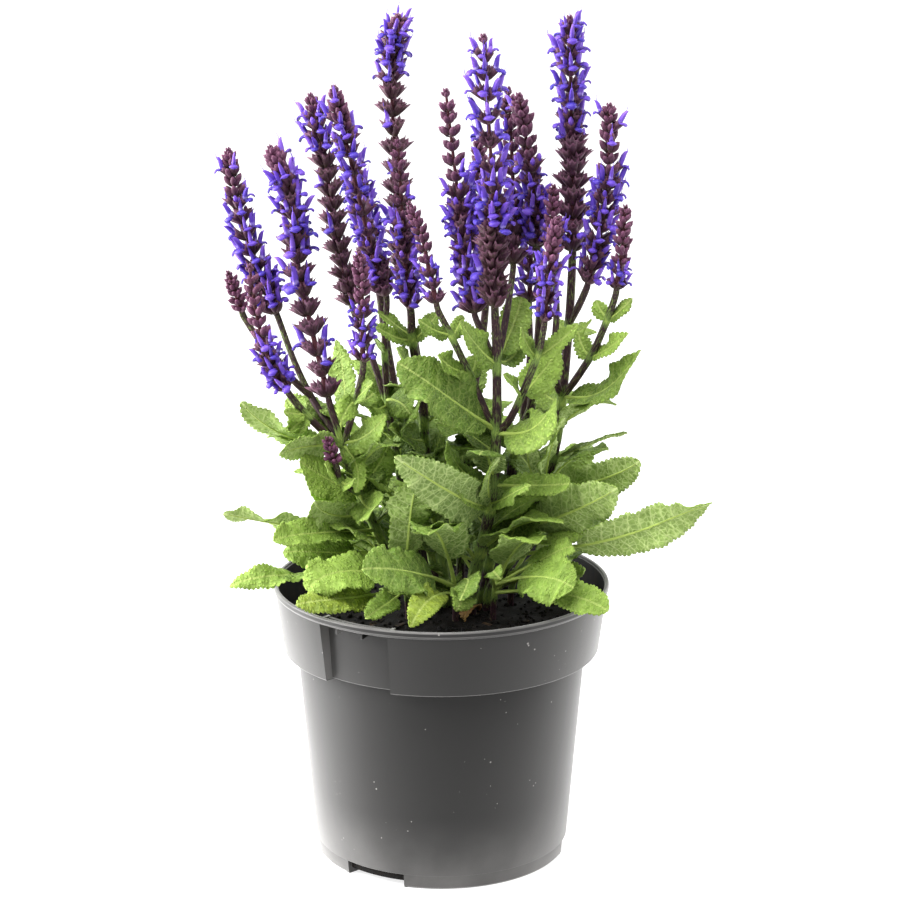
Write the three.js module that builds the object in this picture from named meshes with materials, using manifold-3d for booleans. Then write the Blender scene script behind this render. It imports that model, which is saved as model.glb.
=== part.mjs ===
// A perennial salvia in its nursery pot, in millimetres: +Z up, the front toward -Y,
// the origin at the middle of the pot's flat underside.
import * as THREE from "three";
import { mergeVertices } from "three/addons/utils/BufferGeometryUtils.js";
import Module from "manifold-3d";

const wasm = await Module();
wasm.setup();

// Driving dimensions of the pot.
const POT_HEIGHT = 120;
const RIM_RADIUS = 71.8;
const FOOT_RADIUS = 54.1;
const WALL = 1.5;
const COLLAR_BOTTOM = 91;
const COLLAR_RADIUS = 67.6;
const BODY_TOP_RADIUS = 62;
const FLOOR = 2;
const SIDES = 36;

// The label pocket in the collar: its two ends, its panel and its ribs.
const POCKET = { from: -45, to: -18, top: 113.4, panelFoot: 64, panelHead: 66.4, head: 118.8 };
const POCKET_RIBS = [-37.5, -27.5];

// Three notches in the foot, each with a channel under the floor and a drain hole.
const NOTCHES = { angles: [-32, 88, 208], span: 30, depth: 18, height: 6, hole: 4 };

// The compost and the room that everything standing in it keeps.
const COMPOST_TOP = 104.5;
const ROOM = 0.3;
const STEM_FOOT = 94;

// Leaves: their thickness, their stalk, the distance between the crests of their waved edge, and
// the length from which they are folded along the midrib.
const BLADE = 0.7;
const PETIOLE = 1.9;
const CREST = 11.3;
const WIDE_FROM = 0.24;
const NARROWS_FROM = 0.5;
const FOLDED_FROM = 56;
const TROUGH = 0.22;
const WAVE = 0.12;

// The lower leaves have the longer stalks; both are shares of a leaf's length.
const LOW_LEAVES = 135;
const LOW_STALK = 0.26;
const HIGH_STALK = 0.1;

// The florets of a spike: whorls of them on a slim core around the rachis.
const WHORL_STEP = 7.3;
const FLORETS = 5;
const FLORET_REACH = 8.8;
const FLORET_RISE = 4.4;
const CORE = 1.5;
const RACHIS = 2.2;
const TIP = 0.4;

const COLOURS = {
  plastic: { color: 0x434141, roughness: 0.55, metalness: 0 },
  compost: { color: 0x1f1814, roughness: 0.95, metalness: 0 },
  leaf: { color: 0x668f47, roughness: 0.7, metalness: 0 },
  blue: { color: 0x4f37b8, roughness: 0.65, metalness: 0 },
  maroon: { color: 0x54263f, roughness: 0.65, metalness: 0 },
};

// Leafy stems, left to right, then the back ones. Each axis and arm runs from its foot up;
// an arm with a spike's name ends where that spike begins. A leaf has the points where it
// leaves the stem, that its middle passes over and where it ends, then its width and how many
// degrees its upper face is turned to the front, or away from it. A spread leaf has its height,
// azimuth, length, rise and width.
const STEMS = [
  {
    name: "leafy_stem_left",
    girth: [4.4, 3.2],
    axis: [[-11, -2, STEM_FOOT], [-11, -2, 108], [-15, -4, 120], [-24, -7, 137], [-34, -12, 161],
      [-41, -16, 183]],
    arms: [
      { spike: "spike_01", path: [[-41, -16, 183], [-54, -2, 200], [-62, 5, 215]] },
      { spike: "spike_02", path: [[-54, -2, 200], [-66, -3, 213], [-75, -5, 225]] },
      { spike: "spike_03", path: [[-41, -16, 183], [-47, -20, 189], [-56, -23, 199]] },
      { spike: "spike_04", path: [[-41, -16, 183]] },
      { spike: "spike_05", path: [[-41, -16, 183], [-35, -26, 206]] },
      { spike: "spike_06", path: [[-34, -12, 161], [-42, -27, 172]] },
    ],
    leaves: [
      [[-42, -18, 186], [-66, -26, 192], [-82, -34, 208], 14, -60],
      [[-42, -18, 184], [-55, -28, 187], [-67, -38, 187], 13, -70],
      [[-39, -18, 184], [-31, -26, 191], [-23, -30, 201], 13, 60],
      [[-37, -18, 183], [-35, -24, 176], [-36, -26, 166], 9, 60],
      [[-38, -14, 163], [-48, -24, 172], [-57, -34, 182], 19, 60],
      [[-38, -12, 161], [-47, -18, 163], [-54, -24, 167], 15, 40],
      [[-42, -28, 172], [-45, -33, 177], [-47, -37, 182], 9, 60],
      [[-41, -27, 172], [-39, -33, 172], [-36, -37, 176], 6, 50],
      [[-35, -14, 159], [-30, -28, 160], [-25, -38, 167], 17, 50],
      [[-37, -12, 150], [-45, -24, 156], [-53, -34, 165], 15, -75],
      [[-33, -10, 161], [-28, -2, 169], [-22, 4, 178], 18, 50],
      [[-29, -8, 140], [-69, -28, 154], [-90, -34, 160], 12, -55],
      [[-31, -8, 142], [-54, -34, 151], [-68, -48, 153], 13, 40],
      [[-26, -6, 131], [-47, -22, 139], [-66, -28, 142], 20, 40],
      [[-56, -24, 199], [-60, -19, 201], [-65, -15, 203], 11, 65],
      [[-56, -24, 199], [-60, -29, 201], [-64, -34, 203], 7, 50],
      [[-55, -24, 198], [-59, -26, 196], [-63, -28, 193], 9, 60],
      [[-34, -26, 206], [-32, -32, 211], [-28, -37, 216], 10, 60],
      [[-35, -26, 205], [-38, -30, 204], [-41, -34, 199], 10, 55],
      [[-34, -24, 205], [-31, -16, 204], [-28, -9, 205], 9, 50],
      [[-40, -12, 189], [-41, 2, 205], [-45, 8, 223], 14, 50],
    ],
    spread: [
      [150, 150, 38, 16, 17],
      [126, 125, 42, 18, 20],
      [170, 190, 36, 20, 17],
    ],
  },
  {
    name: "leafy_stem_mid_left",
    girth: [4.2, 3],
    axis: [[-7, 3, STEM_FOOT], [-7, 3, 114], [-13, 6, 140], [-18, 8, 166], [-23, 12, 195]],
    arms: [
      { spike: "spike_07", path: [[-23, 12, 193], [-29, 18, 212]] },
      { spike: "spike_08", path: [[-23, 12, 195], [-24, 13, 220]] },
    ],
    leaves: [
      [[-22, 11, 217], [-27, 3, 224], [-29, -3, 231], 7, 40],
      [[-22, 12, 196], [-17, -4, 199], [-13, -12, 195], 14, 55],
      [[-24, 12, 194], [-27, -2, 196], [-31, -10, 201], 13, 55],
      [[-19, 10, 179], [-14, -4, 192], [-9, -16, 203], 14, 50],
    ],
    spread: [
      [196, 120, 26, 14, 13],
      [172, 105, 38, 20, 17],
      [148, 215, 40, 24, 21],
      [134, 290, 38, 26, 20],
    ],
  },
  {
    name: "leafy_stem_middle",
    girth: [4.6, 3],
    axis: [[2, 4, STEM_FOOT], [2, 4, 114], [-4, 12, 152], [-7, 16, 177], [-8, 16, 195], [-12, 11, 222]],
    tip: "spike_10",
    arms: [
      { spike: "spike_09", path: [[-7, 16, 177], [-9, 25, 205]] },
    ],
    leaves: [
      [[-11, 9, 223], [-20, 4, 226], [-28, 0, 232], 8, 50],
      [[-12, 9, 223], [-19, 12, 229], [-27, 14, 235], 6, 30],
      [[-11, 9, 223], [-6, 8, 229], [-1, 8, 236], 9, 50],
      [[-8, 13, 199], [-13, 2, 211], [-18, -4, 223], 21, 60],
      [[-7, 13, 199], [-1, 9, 204], [5, 6, 213], 12, 50],
      [[-7, 16, 177], [-14, 4, 182], [-22, -2, 188], 15, 50],
      [[-6, 14, 165], [-1, 6, 180], [3, 4, 193], 15, 50],
    ],
    spread: [
      [160, 330, 30, 20, 17],
      [140, 250, 38, 30, 21],
      [186, 60, 26, 14, 14],
    ],
  },
  {
    name: "leafy_stem_front",
    girth: [5, 3.4],
    axis: [[13, -5, STEM_FOOT], [13, -5, 117], [18, -10, 141], [21, -13, 159], [23, -17, 188],
      [23, -19, 219]],
    tip: "spike_13",
    arms: [
      { spike: "spike_11", path: [[23, -17, 188], [13, -22, 213], [4, -25, 233]] },
      { spike: "spike_12", path: [[23, -19, 219]] },
      { spike: "spike_14", path: [[23, -19, 219], [27, -6, 236]] },
      { spike: "spike_15", path: [[23, -17, 188], [30, -24, 200], [39, -32, 225]] },
    ],
    leaves: [
      [[22, -21, 219], [15, -27, 229], [8, -31, 240], 15, 60],
      [[24, -17, 219], [30, -8, 220], [32, -2, 225], 9, 40],
      [[25, -15, 219], [30, -2, 232], [34, 8, 242], 15, 30],
      [[20, -20, 191], [2, -34, 210], [-17, -40, 226], 24, 60],
      [[24, -18, 189], [38, -36, 197], [45, -34, 209], 19, 50],
      [[39, -32, 226], [47, -32, 231], [56, -28, 239], 8, 50],
      [[38, -32, 226], [35, -35, 232], [33, -36, 239], 9, 60],
      [[35, -27, 208], [41, -16, 214], [49, -8, 223], 16, 50],
      [[33, -28, 208], [30, -34, 214], [26, -38, 220], 8, 60],
      [[12, -24, 215], [4, -30, 221], [-1, -34, 227], 11, 60],
      [[12, -22, 214], [14, -15, 218], [15, -10, 221], 9, 40],
      [[3, -27, 232], [-3, -31, 237], [-9, -34, 242], 8, 55],
      [[4, -24, 232], [7, -18, 235], [9, -14, 239], 7, 40],
      [[18, -14, 157], [19, -32, 173], [23, -32, 183], 9, 60],
      [[19, -14, 158], [28, -36, 168], [36, -42, 175], 10, 50],
      [[17, -14, 158], [10, -34, 168], [6, -36, 177], 10, 60],
      [[25, -14, 164], [43, -28, 170], [53, -36, 173], 11, 50],
      [[16, -15, 165], [9, -27, 176], [3, -32, 190], 13, 60],
      [[19, -14, 154], [4, -42, 171], [-19, -52, 189], 20, -70],
    ],
    spread: [
      [134, 320, 44, 22, 22],
      [130, 230, 40, 24, 21],
    ],
  },
  {
    name: "leafy_stem_right",
    girth: [4.6, 3.2],
    axis: [[21, 0, STEM_FOOT], [21, 0, 114], [34, -2, 138], [46, 0, 169], [51, 2, 199], [54, 6, 235]],
    tip: "spike_19",
    arms: [
      { spike: "spike_18", path: [[51, 2, 199], [47, -4, 215], [48, -8, 240]] },
      { spike: "spike_21", path: [[51, 2, 199], [62, -10, 220], [68, -16, 236]] },
      { spike: "spike_20", path: [[54, 6, 230]] },
    ],
    leaves: [
      [[53, 0, 199], [68, -16, 208], [81, -24, 227], 16, 40],
      [[51, 2, 198], [45, 12, 198], [41, 20, 202], 12, 40],
      [[54, 3, 227], [58, -3, 230], [62, -8, 236], 7, 50],
      [[53, 6, 228], [51, 12, 228], [49, 18, 230], 6, 30],
      [[68, -16, 238], [66, -14, 241], [64, -12, 245], 7, 50],
      [[69, -16, 238], [73, -20, 242], [78, -22, 248], 7, 50],
      [[62, -10, 220], [59, -8, 224], [57, -6, 230], 9, 60],
      [[62, -10, 220], [69, -18, 226], [76, -24, 234], 9, 50],
      [[47, 0, 174], [67, 4, 181], [79, 6, 184], 9, -35],
      [[45, -2, 159], [67, -16, 169], [83, -22, 179], 17, -75],
      [[38, -2, 143], [56, -24, 158], [73, -32, 170], 20, -75],
      [[34, -4, 130], [78, -32, 150], [109, -40, 169], 18, -70],
      [[40, -6, 166], [45, -16, 182], [51, -20, 197], 15, 50],
      [[35, -6, 161], [37, -10, 178], [40, -8, 191], 15, 50],
    ],
    spread: [
      [188, 320, 30, 16, 16],
      [150, 50, 40, 20, 20],
      [128, 330, 40, 20, 21],
    ],
  },
  {
    name: "leafy_stem_back_right",
    girth: [4.2, 3],
    axis: [[18, 8, STEM_FOOT], [18, 8, 111], [26, 14, 145], [34, 18, 180], [39, 18, 195], [42, 14, 239]],
    tip: "spike_16",
    arms: [
      { spike: "spike_17", path: [[34, 18, 180], [38, 28, 210]] },
    ],
    leaves: [],
    spread: [
      [150, 30, 46, 20, 20],
      [182, 60, 36, 16, 16],
      [122, 60, 46, 20, 21],
      [206, 20, 28, 16, 13],
    ],
  },
  {
    name: "leafy_stem_back",
    girth: [4, 3],
    axis: [[8, 14, STEM_FOOT], [8, 14, 111], [10, 20, 150], [12, 28, 183], [17, 36, 212]],
    tip: "spike_22",
    arms: [],
    leaves: [],
    spread: [
      [135, 95, 48, 18, 21],
      [160, 55, 36, 18, 17],
      [158, 130, 38, 20, 17],
      [188, 90, 30, 14, 14],
      [176, 300, 26, 16, 16],
    ],
  },
  {
    name: "leafy_stem_back_left",
    girth: [4, 3],
    axis: [[-2, 12, STEM_FOOT], [-2, 12, 111], [-8, 20, 150], [-19, 30, 192], [-24, 37, 218]],
    tip: "spike_23",
    arms: [],
    leaves: [],
    spread: [
      [132, 125, 48, 18, 21],
      [160, 165, 40, 20, 17],
      [164, 75, 30, 18, 15],
      [192, 140, 28, 14, 13],
      [190, 270, 24, 16, 14],
    ],
  },
  {
    name: "shoot_front_left",
    girth: [3, 2.4],
    axis: [[-14, -13, STEM_FOOT], [-14, -13, 110], [-15, -15, 122]],
    arms: [],
    leaves: [
      [[-20, -16, 119], [-40, -44, 126], [-59, -58, 129], 14, 42],
      [[-18, -16, 119], [-23, -40, 122], [-31, -54, 121], 11, 30],
      [[-17, -16, 124], [-55, -34, 133], [-88, -44, 133], 13, 35],
      [[-18, -16, 127], [-38, -38, 136], [-56, -50, 132], 20, 42],
      [[-16, -14, 124], [-14, -30, 150], [-11, -24, 170], 20, 10],
    ],
    spread: [
      [118, 200, 34, 34, 20],
    ],
  },
  {
    name: "shoot_front",
    girth: [3, 2.4],
    axis: [[6, -16, STEM_FOOT], [6, -16, 110], [6, -18, 122]],
    arms: [],
    leaves: [
      [[9, -18, 123], [-12, -46, 138], [-32, -60, 144], 24, 45],
      [[13, -18, 125], [11, -44, 134], [7, -56, 129], 13, 30],
      [[4, -20, 118], [-4, -50, 128], [-12, -70, 123], 12, 25],
      [[9, -20, 121], [9, -46, 128], [6, -56, 124], 11, 20],
    ],
    spread: [
      [121, 250, 34, 36, 22],
    ],
  },
  {
    name: "shoot_front_right",
    girth: [3, 2.4],
    axis: [[22, -13, STEM_FOOT], [22, -13, 110], [23, -15, 122]],
    arms: [],
    leaves: [
      [[26, -18, 124], [40, -46, 136], [54, -58, 135], 22, 42],
      [[28, -16, 127], [44, -34, 141], [55, -38, 147], 15, 35],
      [[25, -16, 120], [21, -42, 137], [24, -52, 136], 8, 30],
      [[25, -16, 118], [49, -44, 128], [68, -60, 126], 16, 35],
      [[25, -14, 122], [30, -8, 142], [38, 2, 162], 22, 20],
    ],
    spread: [
      [119, 300, 34, 32, 21],
    ],
  },
  {
    name: "shoot_right",
    girth: [3, 2.4],
    axis: [[30, 8, STEM_FOOT], [30, 8, 110], [32, 8, 122]],
    arms: [],
    leaves: [
      [[40, 6, 115], [51, -8, 124], [59, -16, 127], 13, 35],
    ],
    spread: [
      [116, 15, 48, 14, 17],
      [121, 50, 46, 20, 20],
      [119, 340, 44, 26, 21],
    ],
  },
  {
    name: "shoot_back",
    girth: [3, 2.4],
    axis: [[8, 26, STEM_FOOT], [8, 26, 110], [8, 28, 122]],
    arms: [],
    leaves: [],
    spread: [
      [114, 75, 46, 14, 17],
      [120, 105, 44, 20, 21],
      [117, 145, 44, 14, 17],
    ],
  },
  {
    name: "shoot_left",
    girth: [3, 2.4],
    axis: [[-20, 8, STEM_FOOT], [-20, 8, 110], [-22, 8, 122]],
    arms: [],
    leaves: [],
    spread: [
      [116, 150, 48, 16, 18],
      [120, 178, 48, 16, 18],
      [121, 110, 38, 20, 17],
      [119, 215, 40, 24, 18],
    ],
  },
];

// Flower spikes: the line of each from its lowest whorl to its tip, how far it reaches out
// against a full spike, and the colour that covers most of it.
const SPIKES = [
  { name: "spike_01", line: [[-70, 12, 235], [-77, 14, 252], [-85, 18, 277], [-89, 20, 302]], full: 1 },
  { name: "spike_02", line: [[-83, -4, 239], [-88, -8, 256]], full: 0.72, maroon: true },
  { name: "spike_03", line: [[-64, -26, 211], [-70, -27, 222], [-75, -27, 240], [-78, -26, 262]],
    full: 0.9 },
  { name: "spike_04", line: [[-47, -14, 204], [-58, -8, 252], [-62, -6, 288], [-70, -4, 307]], full: 1 },
  { name: "spike_05", line: [[-32, -32, 224], [-32, -36, 250], [-33, -38, 270]], full: 0.75 },
  { name: "spike_06", line: [[-44, -31, 181], [-47, -34, 192]], full: 0.6, maroon: true },
  { name: "spike_07", line: [[-38, 26, 235], [-44, 29, 263], [-49, 32, 294], [-55, 34, 323]], full: 0.95,
    maroon: true },
  { name: "spike_08", line: [[-24, 16, 242], [-29, 15, 260], [-38, 11, 301], [-44, 8, 330]], full: 1 },
  { name: "spike_09", line: [[-14, 34, 235], [-18, 38, 278], [-21, 42, 330], [-18, 42, 360]], full: 1 },
  { name: "spike_10", line: [[-13, 7, 238], [-15, 5, 258], [-16, 5, 277], [-18, 5, 308]], full: 0.9 },
  { name: "spike_11", line: [[-2, -24, 247], [-5, -22, 260], [-8, -19, 274], [-13, -16, 286]], full: 0.75,
    maroon: true },
  { name: "spike_12", line: [[14, -10, 240], [10, -5, 264], [7, -3, 287], [2, -2, 330]], full: 1 },
  { name: "spike_13", line: [[22, -20, 245], [21, -21, 268], [21, -22, 292], [17, -24, 355]], full: 1.05 },
  { name: "spike_14", line: [[30, 6, 257], [30, 14, 291], [28, 18, 328]], full: 0.9, maroon: true },
  { name: "spike_15", line: [[42, -36, 242], [44, -38, 266], [47, -38, 284]], full: 0.85 },
  { name: "spike_16", line: [[40, 10, 264], [39, 6, 281], [36, 2, 304], [32, 0, 328]], full: 1 },
  { name: "spike_17", line: [[38, 36, 234], [39, 42, 268], [39, 46, 298]], full: 0.9 },
  { name: "spike_18", line: [[46, -12, 268], [46, -14, 293]], full: 0.72, maroon: true },
  { name: "spike_19", line: [[55, 8, 262], [55, 10, 295], [54, 12, 318], [53, 12, 358]], full: 1.05 },
  { name: "spike_20", line: [[61, -4, 251], [66, -4, 273], [69, -3, 297], [69, -2, 324]], full: 1 },
  { name: "spike_21", line: [[72, -20, 252], [74, -22, 269], [75, -22, 286]], full: 0.72, maroon: true },
  { name: "spike_22", line: [[19, 42, 233], [18, 48, 267], [16, 52, 301]], full: 0.95 },
  { name: "spike_23", line: [[-27, 42, 238], [-33, 46, 268], [-38, 48, 291]], full: 0.95 },
];

// Edges shorter than this are closed up after a cut.
const FINEST = 0.05;

// A seeded draw, so that every build is the same.
let seed = 1917;
function draw(low, high) {
  seed = (seed * 1664525 + 1013904223) % 4294967296;
  return low + (high - low) * seed / 4294967296;
}

const rad = THREE.MathUtils.degToRad;
const point = ([x, y, z]) => new THREE.Vector3(x, y, z);

// A solid from shared points and triangles.
function solid(points, triangles) {
  const vertProperties = new Float32Array(points.flatMap((p) => [p.x, p.y, p.z]));
  const triVerts = new Uint32Array(triangles.flat());
  return new wasm.Manifold(new wasm.Mesh({ numProp: 3, vertProperties, triVerts }));
}

// The triangles of a convex ring of corners.
const fan = (count) => Array.from({ length: count - 2 }, (_, k) => [0, k + 1, k + 2]);

// A closed skin over rings of equal length. `crossed` tells which of its quads, by corner
// and ring, are split along the other diagonal.
function loft(rings, crossed = () => false, cap = fan(rings[0].length)) {
  const count = rings[0].length;
  const triangles = [];
  for (let i = 0; i + 1 < rings.length; i++) {
    for (let k = 0; k < count; k++) {
      const a = i * count + k;
      const b = i * count + (k + 1) % count;
      const c = a + count;
      const d = b + count;
      if (crossed(k, i)) {
        triangles.push([a, b, c], [b, d, c]);
      } else {
        triangles.push([a, b, d], [a, d, c]);
      }
    }
  }
  const last = (rings.length - 1) * count;
  for (const [a, b, c] of cap) {
    triangles.push([a, c, b], [last + a, last + b, last + c]);
  }
  return solid(rings.flat(), triangles);
}

// A solid from one of the closed geometries, with its shared vertices merged.
function solidFrom(geometry) {
  geometry.deleteAttribute("normal");
  geometry.deleteAttribute("uv");
  const merged = mergeVertices(geometry, 1e-3);
  const spots = merged.attributes.position;
  const points = [];
  for (let i = 0; i < spots.count; i++) {
    points.push(new THREE.Vector3().fromBufferAttribute(spots, i));
  }
  const triangles = [];
  for (let i = 0; i < merged.index.count; i += 3) {
    const triangle = Array.from(merged.index.array.slice(i, i + 3));
    if (new Set(triangle).size === 3) {
      triangles.push(triangle);
    }
  }
  return solid(points, triangles);
}

// A turned shape about the Z axis, from radius and height pairs that start and end on it.
function turned(profile, sides = SIDES) {
  const lathe = new THREE.LatheGeometry(profile.map(([r, z]) => new THREE.Vector2(r, z)), sides);
  return lathe.rotateX(Math.PI / 2);
}

// A wedge of a wall: a radius and height outline swept between two angles from the front.
function wedge(outline, from, to) {
  const steps = Math.max(1, Math.round((to - from) / (360 / SIDES)));
  const rings = [];
  for (let i = 0; i <= steps; i++) {
    const angle = rad(from + (to - from) * i / steps);
    rings.unshift(outline.map(([r, z]) => new THREE.Vector3(r * Math.sin(angle), -r * Math.cos(angle), z)));
  }
  const flat = outline.map(([r, z]) => new THREE.Vector2(r, z));
  return loft(rings, () => false, THREE.ShapeUtils.triangulateShape(flat, []));
}

const union = (bodies) => bodies.reduce((whole, body) => whole.add(body));

// The largest body of a solid; scraps that a cut leaves are dropped.
function largest(body) {
  const bodies = body.decompose();
  return bodies.reduce((best, next) => (next.volume() > best.volume() ? next : best));
}

function mesh(name, body, look) {
  const { numProp, vertProperties, triVerts } = body.getMesh();
  const geometry = new THREE.BufferGeometry();
  geometry.setAttribute("position", new THREE.BufferAttribute(new Float32Array(vertProperties), numProp));
  geometry.setIndex(new THREE.BufferAttribute(new Uint32Array(triVerts), 1));
  const made = new THREE.Mesh(geometry, new THREE.MeshStandardMaterial(COLOURS[look]));
  made.name = name;
  return made;
}

// The pot: one moulded wall with a stepped collar, its label pocket and its notched foot.
function pot() {
  const outside = [[0, 0], [FOOT_RADIUS - 0.8, 0], [FOOT_RADIUS, 0.8], [BODY_TOP_RADIUS, COLLAR_BOTTOM],
    [COLLAR_RADIUS, COLLAR_BOTTOM], [71.2, 117.4], [RIM_RADIUS, 118], [RIM_RADIUS, 119.5],
    [71.3, POT_HEIGHT]];
  const inside = [[70.1, POT_HEIGHT], [COLLAR_RADIUS - WALL, COLLAR_BOTTOM + WALL],
    [BODY_TOP_RADIUS - WALL, COLLAR_BOTTOM], [FOOT_RADIUS - WALL + 0.2, FLOOR], [0, FLOOR]];
  let body = solidFrom(turned([...outside, ...inside]));
  const { from, to, top, panelFoot, panelHead, head } = POCKET;
  const low = COLLAR_BOTTOM - 0.3;
  const opening = [[58, low], [76, low], [76, top], [70.4, top], [70.4, 124], [58, 124]];
  const panel = [[61, low - 1.6], [61.5, low - 1.6], [61.5, low - 0.6], [panelFoot, low - 0.2],
    [panelHead, head], [panelHead - WALL, head], [panelFoot - WALL, low + 1], [61, low + 0.5]];
  const across = [[panelFoot - 1, low + 1], [66.8, low + 1], [70.6, head], [panelHead - 1, head]];
  const rib = [[panelHead - 0.6, top + 1], [70.9, top + 1], [71, head - 0.6], [panelHead - 0.5, head - 0.6]];
  body = body.subtract(wedge(opening, from, to)).add(wedge(panel, from - 0.6, to + 0.6));
  body = body.add(wedge(across, from - 1.2, from)).add(wedge(across, to, to + 1.2));
  for (const angle of POCKET_RIBS) {
    body = body.add(wedge(rib, angle - 0.4, angle + 0.4));
  }
  const { angles, span, depth, height, hole } = NOTCHES;
  for (const angle of angles) {
    const inner = FOOT_RADIUS - depth;
    const roof = [[inner - WALL, 0.6], [FOOT_RADIUS - 1, 0.6], [FOOT_RADIUS - 0.3, height + WALL],
      [inner - WALL, height + WALL]];
    const channel = [[inner, -1], [60, -1], [60, height], [inner, height]];
    body = body.add(wedge(roof, angle - span / 2 - 1.6, angle + span / 2 + 1.6));
    body = body.subtract(wedge(channel, angle - span / 2, angle + span / 2));
    const drain = new THREE.CylinderGeometry(hole, hole, 8, 12);
    const at = inner + depth / 2 - 1;
    drain.rotateX(Math.PI / 2);
    drain.translate(at * Math.sin(rad(angle)), -at * Math.cos(rad(angle)), height + 1);
    body = body.subtract(solidFrom(drain));
  }
  return largest(body);
}

// The compost: it fills the pot to under the rim and stands clear of the pot's own relief.
function compost(feet) {
  const wall = WALL + ROOM;
  const bed = COLLAR_BOTTOM + wall;
  const filling = [[0, FLOOR + ROOM], [FOOT_RADIUS - wall, FLOOR + ROOM],
    [BODY_TOP_RADIUS - wall, COLLAR_BOTTOM], [COLLAR_RADIUS - wall - 0.1, bed], [67, COMPOST_TOP],
    [0, COMPOST_TOP]];
  let body = solidFrom(turned(filling));
  const { from, to, panelFoot } = POCKET;
  const inset = panelFoot - WALL - ROOM - 0.1;
  const behindPanel = [[inset - 2.2, 88], [76, 88], [76, 121], [inset + 1, 121], [inset, bed]];
  body = body.subtract(wedge(behindPanel, from - 1.8, to + 1.8));
  const { angles, span, depth, height } = NOTCHES;
  for (const angle of angles) {
    const inner = FOOT_RADIUS - depth - wall;
    const raised = [[inner, -1], [70, -1], [70, height + wall], [inner, height + wall]];
    body = body.subtract(wedge(raised, angle - span / 2 - 3, angle + span / 2 + 3));
  }
  return largest(feet.reduce((whole, foot) => whole.subtract(foot), body));
}

// Square stem rings along a curve: each has its four corners in the plane across the curve.
function squareTube(curve, steps, girth) {
  const rings = [];
  for (let i = 0; i <= steps; i++) {
    const t = i / steps;
    const centre = curve.getPoint(t);
    const along = curve.getTangent(t);
    const u = new THREE.Vector3(1, 0, 0).addScaledVector(along, -along.x).normalize();
    const v = along.clone().cross(u);
    const half = girth(t) / 2;
    const corners = [[half, half], [-half, half], [-half, -half], [half, -half]];
    rings.push(corners.map(([a, b]) => centre.clone().addScaledVector(u, a).addScaledVector(v, b)));
  }
  return loft(rings);
}

// The curves of a leafy stem: its axis, then its arms, each up to just under its spike.
function curvesOf(stem) {
  const lineOf = (name) => SPIKES.find((spike) => spike.name === name).line.map(point);
  const paths = [{ spike: stem.tip, path: stem.axis }, ...stem.arms];
  return paths.map(({ spike, path }) => {
    const points = path.map(point);
    if (spike) {
      const [foot, next] = lineOf(spike);
      const along = next.clone().sub(foot).normalize();
      points.push(foot.clone().addScaledVector(along, -4));
      points.push(foot.clone().addScaledVector(along, -ROOM - 0.1));
    }
    return new THREE.CatmullRomCurve3(points, false, "catmullrom", 0.5);
  });
}

// Where a leaf leaves its stem: the point of the curves nearest to the one given.
function nearest(curves, wanted) {
  const spots = curves.flatMap((curve) => curve.getPoints(60));
  return spots.reduce((best, spot) => (spot.distanceTo(wanted) < best.distanceTo(wanted) ? spot : best));
}

// How wide a blade is from its base (0) to its blunt tip (1), against its full width.
function bladeShape(u) {
  const rise = Math.sqrt(1 - (1 - Math.min(1, u / WIDE_FROM)) ** 2);
  const fall = (1 - Math.max(0, (u - NARROWS_FROM) / (1 - NARROWS_FROM)) ** 2.3) ** 0.62;
  return rise * fall;
}

// One leaf: a thin folded blade on a short stalk, with a waved edge.
function leaf([from, over, to, width, face], curves, grow, phase) {
  const start = nearest(curves, point(from));
  const end = point(to);
  const arch = point(over).multiplyScalar(2).addScaledVector(start, -0.5).addScaledVector(end, -0.5);
  const midrib = new THREE.QuadraticBezierCurve3(start, arch, end);
  const length = midrib.getLength();
  const across = end.clone().sub(start).setZ(0).cross(new THREE.Vector3(0, 0, 1)).normalize();
  const turn = rad(across.y < 0 ? face : -face);
  const stalk = start.z < LOW_LEAVES ? LOW_STALK : HIGH_STALK;
  const steps = THREE.MathUtils.clamp(Math.round(length / CREST), 2, 6);
  const small = steps === 2;
  const flat = length < FOLDED_FROM;
  const thick = BLADE / 2 + grow;
  const rings = [];
  for (let i = 0; i <= steps; i++) {
    const u = small ? i / steps : Math.max(0, (i - 1) / (steps - 1));
    const t = small ? u : Math.min(i, 1) * (stalk + (1 - stalk) * u);
    const centre = midrib.getPoint(t);
    const along = midrib.getTangent(t);
    const side = across.clone().addScaledVector(along, -across.dot(along)).normalize();
    side.applyAxisAngle(along, turn);
    const up = side.clone().cross(along);
    const notch = i % 2 === 0 ? 0.88 : 1.05;
    const blade = width / 2 * notch * bladeShape(Math.min(u, 0.97));
    const half = Math.max(PETIOLE / 2 * (1 - 0.5 * u), blade) + grow;
    const wave = WAVE * half * Math.sin(9 * u + phase);
    const left = TROUGH * half + wave;
    const right = TROUGH * half - wave;
    const at = (s, lift) => centre.clone().addScaledVector(side, s).addScaledVector(up, lift);
    const above = [at(-half, left + thick), at(0, thick), at(half, right + thick)];
    const below = [at(half, right - thick), at(0, -thick), at(-half, left - thick)];
    const ring = [...above, ...below];
    rings.push(flat ? ring.filter((_, k) => k !== 1 && k !== 4) : ring);
  }
  return loft(rings, flat ? (k) => k === 2 : (k) => k === 3 || k === 4);
}

// A leaf of the back and sides, from its height, azimuth, length, rise and width.
function spreadLeaf([height, azimuth, length, rise, width], curves) {
  const [axis] = curves;
  const from = axis.getPoints(60).reduce((best, spot) => (
    Math.abs(spot.z - height) < Math.abs(best.z - height) ? spot : best));
  const out = new THREE.Vector3(Math.cos(rad(azimuth)), Math.sin(rad(azimuth)), 0);
  const over = from.clone().addScaledVector(out, length * 0.48).setZ(from.z + rise * 0.75);
  const to = from.clone().addScaledVector(out, length).setZ(from.z + rise);
  return [from.toArray(), over.toArray(), to.toArray(), width, 0];
}

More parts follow.
